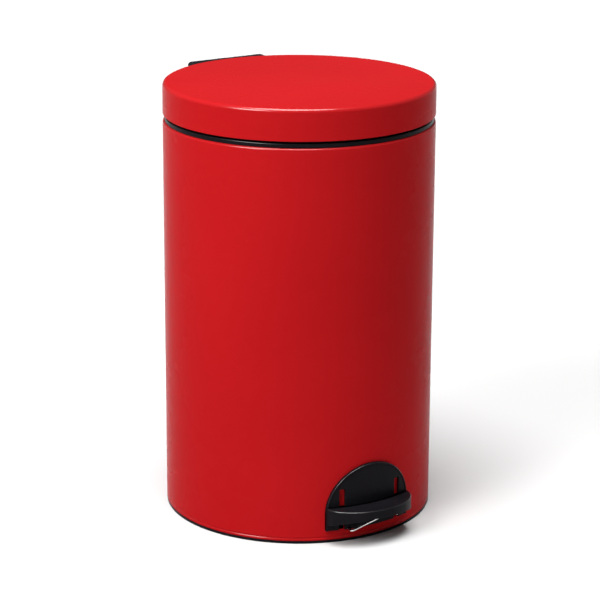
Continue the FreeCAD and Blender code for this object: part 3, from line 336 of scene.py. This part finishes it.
def galvanised_steel():
    """Zinc spangle: flat crystals a few millimetres across, each a slightly different grey."""
    paint = Paint("galvanised_steel")
    paint.set(Metallic=1.0)
    crystals = paint.voronoi(150.0)
    spangle = paint.ramp(crystals, [(0.0, (0.26, 0.27, 0.28)), (1.0, (0.38, 0.39, 0.405))])
    stain = paint.ramp(paint.noise(22.0, 4.0), [(0.3, 0.86), (0.7, 1.0)])
    paint.link(paint.multiply(spangle, stain), "Base Color")
    paint.link(paint.ramp(crystals, [(0.0, 0.30), (1.0, 0.46)]), "Roughness")
    paint.add_bump(paint.noise(260.0, 3.0), 0.1, 0.0003)
    return paint.material


def bright_steel():
    """Drawn wire and turned pins: bright, with faint streaks."""
    paint = Paint("bright_steel")
    paint.set(Metallic=1.0)
    streak = paint.noise(240.0, 3.0, paint.stretched(1.0, 1.0, 6.0))
    paint.link(paint.ramp(streak, [(0.3, (0.68, 0.67, 0.66)), (0.7, (0.84, 0.83, 0.82))]), "Base Color")
    paint.link(paint.ramp(paint.noise(300.0, 2.0), [(0.3, 0.18), (0.7, 0.30)]), "Roughness")
    paint.add_bump(paint.noise(1200.0, 2.0), 0.08, 0.0001)
    return paint.material


def zinc_plate():
    """Bluish zinc plating on screws, rivets, nuts and clips."""
    paint = Paint("zinc_plate")
    paint.set(Metallic=1.0)
    drift = paint.noise(200.0, 3.0)
    paint.link(paint.ramp(drift, [(0.3, (0.50, 0.52, 0.56)), (0.7, (0.66, 0.67, 0.69))]), "Base Color")
    paint.link(paint.ramp(paint.noise(500.0, 2.0), [(0.3, 0.26), (0.7, 0.4)]), "Roughness")
    paint.add_bump(paint.noise(900.0, 2.0), 0.1, 0.0001)
    return paint.material


def black_rubber():
    paint = Paint("black_rubber")
    paint.set(IOR=1.5, Specular_IOR_Level=0.3)
    paint.link(paint.ramp(paint.noise(80.0, 3.0), [(0.3, 0.009), (0.7, 0.015)]), "Base Color")
    paint.link(paint.ramp(paint.noise(300.0, 2.0), [(0.3, 0.7), (0.7, 0.85)]), "Roughness")
    paint.add_bump(paint.noise(1000.0, 2.0), 0.2, 0.0002)
    return paint.material


# ------------------------------------------------------------------ outlines, in millimetres
def rounded(corners, steps=6):
    """A closed outline as points. A corner is (x, y), or (x, y, radius) where it is rounded."""
    points = []
    for number, corner in enumerate(corners):
        here = Vector(corner[:2])
        if len(corner) == 2:
            points.append(here)
            continue
        back = (Vector(corners[number - 1][:2]) - here).normalized()
        ahead = (Vector(corners[(number + 1) % len(corners)][:2]) - here).normalized()
        half = back.angle(ahead) / 2
        hub = here + (back + ahead).normalized() * corner[2] / math.sin(half)
        spoke = here + back * corner[2] / math.tan(half) - hub
        last = here + ahead * corner[2] / math.tan(half) - hub
        sweep = math.atan2(spoke.x * last.y - spoke.y * last.x, spoke.dot(last))
        for step in range(steps + 1):
            points.append(hub + Matrix.Rotation(sweep * step / steps, 2) @ spoke)
    return points


def arc(centre, radius, start, stop, steps):
    """Points of an arc, from angle start to angle stop in radians."""
    return [Vector((centre[0] + radius * math.cos(start + (stop - start) * step / steps),
                    centre[1] + radius * math.sin(start + (stop - start) * step / steps)))
            for step in range(steps + 1)]


def inset(outline, distance):
    """The outline moved inwards; its points run anticlockwise."""
    moved = []
    for number, here in enumerate(outline):
        back = (here - outline[number - 1]).normalized()
        ahead = (outline[(number + 1) % len(outline)] - here).normalized()
        inward_back, inward_ahead = Vector((-back.y, back.x)), Vector((-ahead.y, ahead.x))
        inward = (inward_back + inward_ahead).normalized()
        moved.append(here + inward * distance / max(0.4, inward.dot(inward_back)))
    return moved


# ------------------------------------------------------------------ meshes, in millimetres
def loft(rings, closed=False):
    """Skin rings of equally many points. The ends are capped, or closed joins last to first."""
    bm = bmesh.new()
    made = [[bm.verts.new(place) for place in ring] for ring in rings]
    pairs = list(zip(made, made[1:])) + ([(made[-1], made[0])] if closed else [])
    for low, high in pairs:
        for number in range(len(low)):
            after = (number + 1) % len(low)
            bm.faces.new((low[number], low[after], high[after], high[number]))
    if not closed:
        bm.faces.new(list(reversed(made[0])))
        bm.faces.new(made[-1])
    return bm


def turned(outline, segments=192):
    """A closed outline of (radius, height) turned about Z."""
    rings = []
    for number in range(segments):
        angle = 2 * math.pi * number / segments
        rings.append([Vector((r * math.cos(angle), r * math.sin(angle), z)) for r, z in outline])
    bm = loft(rings, closed=True)
    bmesh.ops.remove_doubles(bm, verts=bm.verts, dist=1e-5)
    return bm


def moved_along(bm, place, direction):
    """Turn a mesh's +Z to the direction and set its origin at the place."""
    turn = Vector(direction).to_track_quat("Z", "Y").to_matrix().to_4x4()
    bmesh.ops.transform(bm, matrix=Matrix.Translation(place) @ turn, verts=bm.verts)
    return bm


def block(low, high, edge=0.0):
    """A box between two corners, with its edges rounded."""
    bm = bmesh.new()
    bmesh.ops.create_cube(bm, size=1.0)
    for vert in bm.verts:
        vert.co = Vector([(a + b) / 2 + c * (b - a) for a, b, c in zip(low, high, vert.co)])
    if edge:
        bmesh.ops.bevel(bm, geom=bm.edges[:], offset=edge, segments=3, profile=0.5,
                        affect="EDGES", clamp_overlap=True)
    return bm


def tube(path, radii, sides=20):
    """A round tube along a path of points, with a radius for each, closed by shallow domes."""
    path = [Vector(place) for place in path]
    stations = []
    across = None
    for number, here in enumerate(path):
        before = path[max(0, number - 1)]
        after = path[min(len(path) - 1, number + 1)]
        along = (after - before).normalized()
        across = along.orthogonal() if across is None else across - along * across.dot(along)
        across.normalize()
        stations.append((here, along, across.copy(), along.cross(across)))

    def dome(end, sign, steps=4, height=0.5):
        """Rings that shrink beyond the tube's first or last station."""
        here, along, one, other = stations[end]
        shrinking = []
        for step in range(1, steps):
            angle = math.pi / 2 * step / steps
            radius = radii[end] * math.cos(angle)
            centre = here + along * sign * height * radii[end] * math.sin(angle)
            shrinking.append(circle(centre, one, other, radius, sides))
        return shrinking

    middle = [circle(here, one, other, radius, sides)
              for (here, along, one, other), radius in zip(stations, radii)]
    return loft(list(reversed(dome(0, -1))) + middle + dome(-1, 1))


def circle(centre, one, other, radius, sides):
    return [centre + one * radius * math.cos(2 * math.pi * side / sides)
            + other * radius * math.sin(2 * math.pi * side / sides) for side in range(sides)]


def bent_path(points, radii, steps=8):
    """Straight runs joined by tangent arcs, as points."""
    points = [Vector(place) for place in points]
    path = [points[0]]
    for number, radius in enumerate(radii, start=1):
        here = points[number]
        back = (points[number - 1] - here).normalized()
        ahead = (points[number + 1] - here).normalized()
        half = back.angle(ahead) / 2
        hub = here + (back + ahead).normalized() * radius / math.sin(half)
        spoke = here + back * radius / math.tan(half) - hub
        last = here + ahead * radius / math.tan(half) - hub
        axis = spoke.cross(last).normalized()
        sweep = spoke.angle(last)
        for step in range(steps + 1):
            path.append(hub + Matrix.Rotation(sweep * step / steps, 3, axis) @ spoke)
    path.append(points[-1])
    return path


def merge(meshes):
    """Several meshes as one."""
    whole = meshes[0]
    for part in meshes[1:]:
        scratch = bpy.data.meshes.new("scratch")
        part.to_mesh(scratch)
        part.free()
        whole.from_mesh(scratch)
        bpy.data.meshes.remove(scratch)
    return whole


def cut(bm, cutters):
    """Take the cutters, themselves meshes, out of a mesh."""
    objects = []
    for number, shape in enumerate([bm] + cutters):
        bmesh.ops.recalc_face_normals(shape, faces=shape.faces)
        mesh = bpy.data.meshes.new(f"cut_{number}")
        shape.to_mesh(mesh)
        shape.free()
        objects.append(bpy.data.objects.new(mesh.name, mesh))
        bpy.context.scene.collection.objects.link(objects[-1])
    for tool in objects[1:]:
        modifier = objects[0].modifiers.new(tool.name, "BOOLEAN")
        modifier.operation = "DIFFERENCE"
        modifier.solver = "EXACT"
        modifier.object = tool
    bpy.context.view_layer.update()
    result = bmesh.new()
    result.from_object(objects[0], bpy.context.evaluated_depsgraph_get())
    for item in objects:
        mesh = item.data
        bpy.data.objects.remove(item)
        bpy.data.meshes.remove(mesh)
    return result


def hollow_cap(outline, top, bottoms, wall, ceiling, edge):
    """A moulded cap, open below: an upright wall along the outline under a flat roof with a round
    edge. Bottoms gives the wall's lowest height at each point of the outline."""
    rings = []

    def ring(distance, heights):
        flat = inset(outline, distance) if distance else outline
        rings.append([Vector((place.x, place.y, height)) for place, height in zip(flat, heights)])

    lip = 0.4
    ring(wall, [ceiling] * len(outline))
    ring(wall, bottoms)
    ring(lip, bottoms)
    ring(0, [bottom + lip for bottom in bottoms])
    steps = 6
    for step in range(steps + 1):
        angle = math.pi / 2 * step / steps
        ring(edge * (1 - math.cos(angle)), [top - edge * (1 - math.sin(angle))] * len(outline))
    return loft(rings)


def plate(outline, thickness, edge):
    """A flat plate in X and Y with rounded edges, from Z = 0 to its thickness."""
    data = bpy.data.curves.new("plate", "CURVE")
    data.dimensions = "2D"
    data.fill_mode = "BOTH"
    data.extrude = thickness / 2 - edge
    data.bevel_depth = edge
    data.bevel_resolution = 3
    data.offset = -edge
    spline = data.splines.new("POLY")
    spline.points.add(len(outline) - 1)
    for point, place in zip(spline.points, outline):
        point.co = (place.x, place.y, 0, 1)
    spline.use_cyclic_u = True
    item = bpy.data.objects.new("plate", data)
    bpy.context.scene.collection.objects.link(item)
    bpy.context.view_layer.update()
    bm = bmesh.new()
    bm.from_mesh(bpy.data.meshes.new_from_object(item))
    bpy.data.objects.remove(item)
    bmesh.ops.remove_doubles(bm, verts=bm.verts, dist=1e-4)
    bmesh.ops.translate(bm, verts=bm.verts, vec=(0, 0, thickness / 2))
    return bm


def wrapped(bm, radius):
    """Lay a flat plate (X across, Y up, Z outwards) on the front of a cylinder about Z."""
    half = max(abs(vert.co.x) for vert in bm.verts)
    slices = int(half / WRAP_PITCH)
    for number in range(-slices, slices + 1):
        bmesh.ops.bisect_plane(bm, geom=bm.verts[:] + bm.edges[:] + bm.faces[:],
                               plane_co=(number * WRAP_PITCH, 0, 0), plane_no=(1, 0, 0))
    for vert in bm.verts:
        across, up, out = vert.co
        vert.co = Vector((across, -math.sqrt((radius + out) ** 2 - across ** 2), up))
    return bm


def softened(node, width):
    """A CAD node's shape with its hard edges rounded."""
    bm = bmesh.new()
    bm.from_mesh(nodes[node].data)
    bmesh.ops.scale(bm, vec=(1 / MM,) * 3, verts=bm.verts)
    bmesh.ops.remove_doubles(bm, verts=bm.verts, dist=1e-3)
    bmesh.ops.dissolve_limit(bm, angle_limit=math.radians(0.6), verts=bm.verts, edges=bm.edges)
    hard = [edge for edge in bm.edges
            if edge.is_manifold and edge.calc_face_angle(0) > HARD_ANGLE]
    bmesh.ops.bevel(bm, geom=hard, offset=width, segments=2, profile=0.5, affect="EDGES",
                    clamp_overlap=True)
    return bm


def islands(node):
    """Lowest and highest corner of each separate solid of a CAD node, in millimetres and in order."""
    bm = bmesh.new()
    bm.from_mesh(nodes[node].data)
    bmesh.ops.remove_doubles(bm, verts=bm.verts, dist=1e-6)
    left = set(bm.verts)
    boxes = []
    while left:
        group, edge = set(), [left.pop()]
        while edge:
            vert = edge.pop()
            group.add(vert)
            near = [link.other_vert(vert) for link in vert.link_edges]
            edge.extend(other for other in near if other in left)
            left.difference_update(near)
        low = Vector([min(vert.co[axis] for vert in group) for axis in range(3)]) / MM
        high = Vector([max(vert.co[axis] for vert in group) for axis in range(3)]) / MM
        boxes.append((low, high))
    bm.free()
    return sorted(boxes, key=lambda box: tuple(box[0]))


def piece(name, bm, *replaced):
    """Make an object of a mesh in millimetres. It takes its body, slot and material from the first
    CAD node that it replaces."""
    bmesh.ops.scale(bm, vec=(MM, MM, MM), verts=bm.verts)
    bmesh.ops.recalc_face_normals(bm, faces=bm.faces)
    mesh = bpy.data.meshes.new(name)
    bm.to_mesh(mesh)
    bm.free()
    mesh.polygons.foreach_set("use_smooth", [True] * len(mesh.polygons))
    mesh.set_sharp_from_angle(angle=SHARP_ANGLE)
    mesh.materials.append(materials[subparts[replaced[0]]])
    item = bpy.data.objects.new(name, mesh)
    bpy.context.scene.collection.objects.link(item)
    flatten = item.modifiers.new("flat_faces_shade_flat", "WEIGHTED_NORMAL")
    flatten.keep_sharp = True
    bpy.context.view_layer.update()
    depsgraph = bpy.context.evaluated_depsgraph_get()
    item.data = bpy.data.meshes.new_from_object(item.evaluated_get(depsgraph))
    item.modifiers.clear()
    bpy.data.meshes.remove(mesh)
    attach(item, body_of[replaced[0]])
    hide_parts(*replaced)
    return item


# ------------------------------------------------------------------ shell, base and collar
def make_shell():
    """Painted cylinder: rolled shoulder, hemmed foot, a lap weld down the back, pedal slots."""
    groove_low, groove_middle, groove_high, groove_depth = 2.2, 2.9, 4.6, 0.45
    hem_rise = 4.8
    wall = turned(rounded([
        (CAN_RADIUS, SHELL_LOW, 0.8),
        (CAN_RADIUS, SHELL_LOW + groove_low, 0.45),
        (CAN_RADIUS - groove_depth, SHELL_LOW + groove_middle, 0.4),
        (CAN_RADIUS, SHELL_LOW + groove_high, 1.2),
        (CAN_RADIUS, SHELL_HIGH, 2.5),
        (SHOULDER_INNER, SHELL_HIGH, 0.35),
        (SHOULDER_INNER, SHELL_HIGH - SHEET, 0.35),
        (CAN_RADIUS - SHEET, SHELL_HIGH - SHEET, 1.7),
        (CAN_RADIUS - SHEET, SHELL_LOW + hem_rise + SHEET),
        (CAN_RADIUS - HEM, SHELL_LOW + hem_rise, 0.3),
        (CAN_RADIUS - HEM, SHELL_LOW, 0.7),
    ]), segments=256)
    cutters = [block((side * SLOT_X - SLOT_HALF, -CAN_RADIUS - 5, SHELL_SLOT_LOW),
                     (side * SLOT_X + SLOT_HALF, -CAN_RADIUS / 2, SHELL_SLOT_TOP))
               for side in (1, -1)]
    hole_radius, hole_depth = WIRE_RADIUS + 0.2, 40
    hole = turned([(0, 0), (hole_radius, 0), (hole_radius, hole_depth), (0, hole_depth)], 24)
    cutters.append(moved_along(hole, (-WIRE_X, -CAN_RADIUS + 20, WIRE_Z), (0, -1, 0)))
    weld_y, weld_radius = CAN_RADIUS - 0.35, 0.75
    weld = tube([(0, weld_y, SHELL_LOW + 2), (0, weld_y, SHELL_HIGH - 3)], [weld_radius] * 2, 12)
    piece("shell", merge([cut(wall, cutters), weld]), "outer_shell")


def make_base():
    """Moulded pan: a flat rim on the floor, a recessed middle with two stiffening rings."""
    recess, ring_height, rim_inner = 1.2, 0.2, 129
    lip_inner, lip_outer, lip_top = 141.9, 145.1, 14
    under = [(0, recess)]
    for near, far in ((20, 26), (86, 94)):
        under += [(near, recess), (near + 1, ring_height), (far - 1, ring_height), (far, recess)]
    pan = turned(rounded(under + [
        (rim_inner - 1, recess), (rim_inner, 0), (CAN_RADIUS, 0, 0.8), (CAN_RADIUS, SHELL_LOW),
        (lip_outer, SHELL_LOW), (lip_outer, lip_top, 0.5), (lip_inner, lip_top, 0.5),
        (lip_inner, SHELL_LOW), (0, SHELL_LOW),
    ]), segments=256)
    pedal_gap, rod_gap, gap_low, gap_top = SLOT_X + 11, 14, SHELL_LOW + 0.01, 20
    gaps = [block((-pedal_gap, -CAN_RADIUS - 1, gap_low), (pedal_gap, 0, gap_top)),
            block((-rod_gap, 0, gap_low), (rod_gap, CAN_RADIUS + 1, gap_top))]
    piece("pan", cut(pan, gaps), "base_pan")


def make_collar():
    """Moulded ring on the shoulder, with a notch at the back for the hinge arm."""
    outer, inner, ledge = 139.0, 136.0, 121.2
    lip_inner, lip_outer, brim = 137.3, 140.3, 144
    notch_half, notch_start = 16, 128
    ring = turned(rounded([
        (ledge, SHELL_HIGH, 0.6), (lip_inner, SHELL_HIGH), (lip_inner, RIM_LIP_LOW, 0.5),
        (lip_outer, RIM_LIP_LOW, 0.5), (lip_outer, SHELL_HIGH), (brim, SHELL_HIGH, 0.4),
        (brim, RIM_BRIM_TOP, 1.0), (outer, RIM_BRIM_TOP, 0.6), (outer, RIM_TOP, 1.2),
        (inner, RIM_TOP, 1.2), (inner, RIM_FLANGE_TOP, 0.8), (ledge, RIM_FLANGE_TOP, 0.9),
    ]), segments=256)
    notch = block((-notch_half, notch_start, RIM_LIP_LOW - 1), (notch_half, CAN_RADIUS, RIM_TOP + 1))
    piece("collar", cut(ring, [notch]), "top_rim")


# ------------------------------------------------------------------ lid and its hinge
def make_lid():
    """Pressed cap: a nearly flat top, a round edge, a skirt with a rolled hem."""
    crown, crown_middle = 0.2, 95
    middle_height = LID_HIGH - crown / 4
    hem_rise = 4
    notch_half, notch_start, notch_top = 13.5, 132, 453.5
    cap = turned(rounded([
        (0, LID_HIGH), (crown_middle, middle_height), (CAN_RADIUS, LID_HIGH - crown, LID_ROUND),
        (CAN_RADIUS, LID_LOW, 0.75), (CAN_RADIUS - HEM, LID_LOW, 0.75),
        (CAN_RADIUS - HEM, LID_LOW + hem_rise), (CAN_RADIUS - SHEET, LID_LOW + hem_rise + SHEET),
        (CAN_RADIUS - SHEET, LID_HIGH - crown - SHEET, LID_ROUND - SHEET),
        (crown_middle, middle_height - SHEET), (0, LID_HIGH - SHEET),
    ], steps=10), segments=256)
    notch = block((-notch_half, notch_start, LID_LOW - 1), (notch_half, 160, notch_top))
    piece("lid_cap", cut(cap, [notch]), "lid_shell")


def make_hinge_cover():
    """Moulded cap behind the lid: its inner side follows the skirt, its ends slope back."""
    reach = CAN_RADIUS + FIT_GAP
    contact = math.asin(COVER_HALF / reach)
    front_y = CAN_RADIUS - 2.5
    guides = [(-COVER_HALF + 4, CAN_RADIUS - 8), (COVER_HALF - 4, CAN_RADIUS - 8)]
    # The guides only give the front corners their direction, so they are dropped again.
    back = rounded(guides + [
        (COVER_HALF, front_y, 1.2), (COVER_BACK_HALF, COVER_BACK, 2.2),
        (-COVER_BACK_HALF, COVER_BACK, 2.2), (-COVER_HALF, front_y, 1.2),
    ])[len(guides):]
    front = arc((0, 0), reach, math.pi / 2 + contact, math.pi / 2 - contact, 40)
    outline = back + front
    bottoms = [COVER_LOW] * len(outline)
    wall = 2.0
    cap = hollow_cap(outline, COVER_TOP, bottoms, wall, COVER_TOP - wall, 1.2)
    start = COVER_HALF - COVER_END_ROUND
    slices = 8
    for side in (1, -1):
        for step in range(slices):
            across = start + COVER_END_ROUND * math.sin(math.pi / 2 * step / slices)
            bmesh.ops.bisect_plane(cap, geom=cap.verts[:] + cap.edges[:] + cap.faces[:],
                                   plane_co=(side * across, 0, 0), plane_no=(1, 0, 0))
    for vert in cap.verts:
        beyond = max(0.0, abs(vert.co.x) - start)
        drop = COVER_END_ROUND - math.sqrt(max(0.0, COVER_END_ROUND ** 2 - beyond ** 2))
        if vert.co.z > COVER_LOW + 1:
            vert.co.z -= drop
    piece("hinge_cover", cap, "lid_hinge_cover")


# ------------------------------------------------------------------ pedal
def make_guard():
    """Arched plate against the shell with a raised border, open slots and a notch for the wire."""
    arch = arc((0, GUARD_CENTRE), GUARD_RADIUS, 0, math.pi, 48)
    notch_gap = 0.4
    notch_low, notch_high = WIRE_X - WIRE_RADIUS - notch_gap, WIRE_X + WIRE_RADIUS + notch_gap
    notch_top = WIRE_Z + WIRE_RADIUS + notch_gap
    foot = [(-GUARD_RADIUS, GUARD_LOW, 0.6)]
    slot_near, slot_far = SLOT_X - SLOT_HALF, SLOT_X + SLOT_HALF
    foot += [(-slot_far, GUARD_LOW), (-slot_far, GUARD_SLOT_TOP, 0.5), (-slot_near, GUARD_SLOT_TOP, 0.5),
             (-slot_near, GUARD_LOW)]
    foot += [(-notch_high, GUARD_LOW), (-notch_high, notch_top), (-notch_low, notch_top),
             (-notch_low, GUARD_LOW)]
    foot += [(slot_near, GUARD_LOW), (slot_near, GUARD_SLOT_TOP, 0.5), (slot_far, GUARD_SLOT_TOP, 0.5),
             (slot_far, GUARD_LOW), (GUARD_RADIUS, GUARD_LOW, 0.6), (GUARD_RADIUS, GUARD_CENTRE)]
    sheet = rounded([(-GUARD_RADIUS, GUARD_CENTRE)] + foot, 3)[1:-1] + arch
    inner = arc((0, GUARD_CENTRE), GUARD_RADIUS - GUARD_BORDER, math.pi, 0, 48)
    band = (rounded([(GUARD_RADIUS - GUARD_BORDER, GUARD_LOW), (GUARD_RADIUS, GUARD_LOW, 0.6),
                     (GUARD_RADIUS, GUARD_CENTRE)], 3)[:-1] + arch
            + [Vector((-GUARD_RADIUS, GUARD_LOW)), Vector((GUARD_BORDER - GUARD_RADIUS, GUARD_LOW))]
            + inner)
    radius = CAN_RADIUS + FIT_GAP
    whole = merge([wrapped(plate(sheet, GUARD_WALL, 0.4), radius),
                   wrapped(plate(band, GUARD_WALL + GUARD_BORDER_RISE - FIT_GAP, 0.8), radius)])
    piece("guard", whole, "pedal_guard")


def make_pad():
    """Tread: half an ellipse in plan, its skirt deeper at the can, with two ribs into the can."""
    # The ellipse x^2 = half^2 - squared (y - centre)^2 meets the back's circle x^2 = back^2 - y^2.
    squared = (PAD_HALF / PAD_REACH) ** 2
    half_linear = squared * PAD_CENTRE
    constant = PAD_HALF ** 2 - squared * PAD_CENTRE ** 2 - PAD_BACK ** 2
    leading = 1 - squared
    meeting_y = (-half_linear + math.sqrt(half_linear ** 2 - leading * constant)) / leading
    contact = math.acos(abs(meeting_y) / PAD_BACK)
    front = []
    steps, clearance, end_rise = 72, 0.3, 0.5
    for step in range(steps + 1):
        angle = math.pi + math.pi * step / steps
        place = Vector((PAD_HALF * math.cos(angle), -PAD_CENTRE + PAD_REACH * math.sin(angle)))
        if place.length > PAD_BACK + clearance:
            front.append(place)
    back = arc((0, 0), PAD_BACK, contact - math.pi / 2, -contact - math.pi / 2, 40)
    slope = (PAD_NOSE_LOW - PAD_HEEL_LOW) / (PAD_CENTRE + PAD_REACH - PAD_HEEL_Y)
    bottoms = [PAD_HEEL_LOW + slope * (-place.y - PAD_HEEL_Y) for place in front]
    end_low = [PAD_HEEL_LOW + end_rise]
    bottoms += end_low + [PAD_BACK_LOW] * (len(back) - 2) + end_low
    tread = hollow_cap(front + back, PAD_TOP, bottoms, PAD_WALL, PAD_TOP - PAD_WALL, 1.3)
    ribs = [block((side * SLOT_X - RIB_HALF, -PAD_BACK - 2, RIB_LOW),
                  (side * SLOT_X + RIB_HALF, -RIB_END, RIB_TOP), 0.6) for side in (1, -1)]
    piece("pad", merge([tread] + ribs), "pedal_pad")


def make_wire():
    """Bright spring wire from a hole in the shell, under the tread's nose, hooked behind it."""
    route = [(-WIRE_X, 7 - CAN_RADIUS, WIRE_Z), (-WIRE_X, -(CAN_RADIUS + 6.4), WIRE_Z),
             (5, -(CAN_RADIUS + 13), WIRE_Z + 11.9), (28.6, -(CAN_RADIUS + 9), WIRE_Z + 13.4),
             (29.6, -(CAN_RADIUS + 6.6), WIRE_Z + 7.6)]
    path = bent_path(route, [3, 8, 2.4])
    wire = piece("wire", tube(path, [WIRE_RADIUS] * len(path)), "pedal_wire")
    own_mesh(wire)


# ------------------------------------------------------------------ bucket and bail
def make_bucket():
    """Galvanised bucket: tapered wall with two swaged ribs, a raised floor, a rolled bead."""
    def wall_radius(height):
        share = (height - BUCKET_LOW) / (BUCKET_TOP - BUCKET_LOW)
        return BUCKET_LOW_RADIUS + share * (BUCKET_TOP_RADIUS - BUCKET_LOW_RADIUS)

    def side(thickness, heights):
        points = []
        for height in heights:
            r = wall_radius(height) - thickness
            points += [(r, height - rib_half), (r + rib_out, height, 3), (r, height + rib_half)]
        return points

    ribs, rib_half, rib_out = (125, 375), 4, 0.9
    floor = BUCKET_LOW + 4
    outline = rounded(
        [(0, floor), (BUCKET_LOW_RADIUS - SHEET, floor), (BUCKET_LOW_RADIUS - SHEET, BUCKET_LOW),
         (BUCKET_LOW_RADIUS, BUCKET_LOW)] + side(0, ribs)
        + [(BUCKET_TOP_RADIUS, BUCKET_TOP), (BUCKET_TOP_RADIUS - SHEET, BUCKET_TOP)]
        + list(reversed(side(SHEET, ribs)))
        + [(BUCKET_LOW_RADIUS - SHEET, floor + SHEET), (0, floor + SHEET)])
    bead = turned(arc((BEAD_CIRCLE, BUCKET_TOP), BEAD_RADIUS, 0, 2 * math.pi, 16)[:-1], 192)
    piece("bucket", merge([turned(outline), bead]), "inner_bucket")


def bail_arc(half_angle, steps):
    """Points of the bail's bow, from the right end round the front to the left."""
    flat = arc((0, -BAIL_BEND), BAIL_RADIUS, half_angle - math.pi / 2, -half_angle - math.pi / 2, steps)
    return [Vector((place.x, place.y, BAIL_Z)) for place in flat]


def make_bail():
    quarter = arc((BAIL_RADIUS - BAIL_BEND, -BAIL_BEND), BAIL_BEND, math.pi / 2, 0, 6)
    right = [Vector((BAIL_END, 0, BAIL_Z))] + [Vector((p.x, p.y, BAIL_Z)) for p in quarter]
    left = [Vector((-p.x, p.y, BAIL_Z)) for p in reversed(right)]
    path = right + bail_arc(math.pi / 2, 96)[1:-1] + left
    piece("bail", tube(path, [BAIL_WIRE_RADIUS] * len(path)), "bail_wire")
    steps, rib_steps, rib_depth, end_steps, end_drop = 84, 6, 0.5, 3, 0.25
    grip = bail_arc(GRIP_HALF_ANGLE, steps)
    radii = []
    for step in range(steps + 1):
        rib = GRIP_RADIUS - rib_depth * (0.5 + 0.5 * math.cos(2 * math.pi * step / rib_steps)) ** 2
        to_end = min(step, steps - step)
        radii.append(rib if to_end >= end_steps else GRIP_RADIUS - end_drop * (end_steps - to_end))
    piece("grip", tube(grip, radii, 28), "bail_grip")


# ------------------------------------------------------------------ fasteners and pins
def head_outline(length, head, head_height, shank, dome):
    """Outline of a headed fastener along +Z from its head's top at 0 down to -length."""
    edge = head_height * (0.9 if dome else 0.45)
    return rounded([(0, 0), (head * 0.999, 0, edge), (head, -head_height, 0.2), (shank, -head_height),
                    (shank, -length, 0.35), (0, -length)], 5)


def make_fastener(low, high, axis, outward, style):
    """One headed fastener in the box low to high; outward says which end its head is at."""
    head_height, shank, dome, drive = style
    across = [number for number in range(3) if number != axis]
    head = (high[across[0]] - low[across[0]]) / 2
    direction = Vector([outward if number == axis else 0 for number in range(3)])
    place = (low + high) / 2
    place[axis] = high[axis] if outward > 0 else low[axis]
    body = turned(head_outline(high[axis] - low[axis], head, head_height, shank, dome), 40)
    if drive:
        arm, width, depth = head * 0.55, head * 0.14, head_height * 0.55
        cross = [block((-arm, -width, -depth), (arm, width, 1)),
                 block((-width, -arm, -depth), (width, arm, 1))]
        body = cut(body, cross)
    return moved_along(body, place, direction)


def away(low, high):
    """Which side of X = 0 a solid is on."""
    return 1 if low.x + high.x > 0 else -1


def make_fasteners():
    """Screws, rivets and headed pins. Each row: node, axis, side of the head, and the style, which is
    head height, shank radius, domed or not, cross recess or not."""
    rows = [
        ("hinge_screws", 1, lambda low, high: 1, (2.4, 2.0, False, True)),
        ("base_screws", 2, lambda low, high: 1, (2.0, 2.0, False, True)),
        ("cover_screws", 1, lambda low, high: -1, (1.6, 1.25, False, True)),
        ("bracket_rivets", 2, lambda low, high: 1, (1.5, 2.0, True, False)),
        ("pad_rivets", 0, away, (1.2, 1.5, True, False)),
        ("ear_rivets", 0, lambda low, high: -away(low, high), (1.2, 1.5, True, False)),
        ("hinge_pin", 0, lambda low, high: -1, (1.5, 2.5, True, False)),
        ("crank_pin", 0, lambda low, high: -1, (1.5, 2.5, True, False)),
        ("lever_pin", 0, lambda low, high: -1, (1.5, 2.5, True, False)),
    ]
    for node, axis, head_side, style in rows:
        made = [make_fastener(low, high, axis, head_side(low, high), style)
                for low, high in islands(node)]
        piece(node + "_turned", merge(made), node)


def make_rings():
    """Nuts, clips and buffers: short turned rings. Each row: node, axis, bore, edge, sides."""
    rows = [
        ("hinge_nuts", 1, 2.02, 0.4, 6),
        ("guard_nuts", 1, 2.02, 0.3, 40),
        ("pivot_clips", 0, 3.02, 0.3, 40),
        ("rod_pin_clips", 0, 2.52, 0.25, 40),
        ("lid_buffers", 2, 0.0, 0.9, 40),
    ]
    for node, axis, bore, edge, sides in rows:
        made = []
        for low, high in islands(node):
            across = (axis + 1) % 3
            radius = (high[across] - low[across]) / 2
            length = high[axis] - low[axis]
            outline = rounded([(bore, 0), (radius, 0, edge), (radius, length, edge), (bore, length)], 4)
            place = (low + high) / 2
            place[axis] = low[axis]
            direction = Vector([1 if number == axis else 0 for number in range(3)])
            made.append(moved_along(turned(outline, sides), place, direction))
        piece(node + "_turned", merge(made), node)


def soften_the_rest():
    """Sheet-metal and moulded pieces that keep the CAD shape, with their edges rounded."""
    for node, width in (("hinge_block", 0.6), ("lid_hinge_arm", 0.3), ("pedal_lever", 0.3),
                        ("lever_bracket", 0.3), ("push_rod", 0.25), ("rod_guide", 0.25),
                        ("bucket_ears", 0.3), ("lever_pivot_pin", 0.4), ("base_plate", 0.2)):
        piece(node + "_edged", softened(node, width), node)


make_camera()
make_light()
make_floor()
materials = {
    "red_paint": red_paint(),
    "black_moulding": black_moulding(),
    "galvanised_steel": galvanised_steel(),
    "bright_steel": bright_steel(),
    "zinc_fasteners": zinc_plate(),
    "black_rubber": black_rubber(),
}
make_shell()
make_base()
make_collar()
make_lid()
make_hinge_cover()
make_guard()
make_pad()
make_wire()
make_bucket()
make_bail()
make_fasteners()
make_rings()
soften_the_rest()
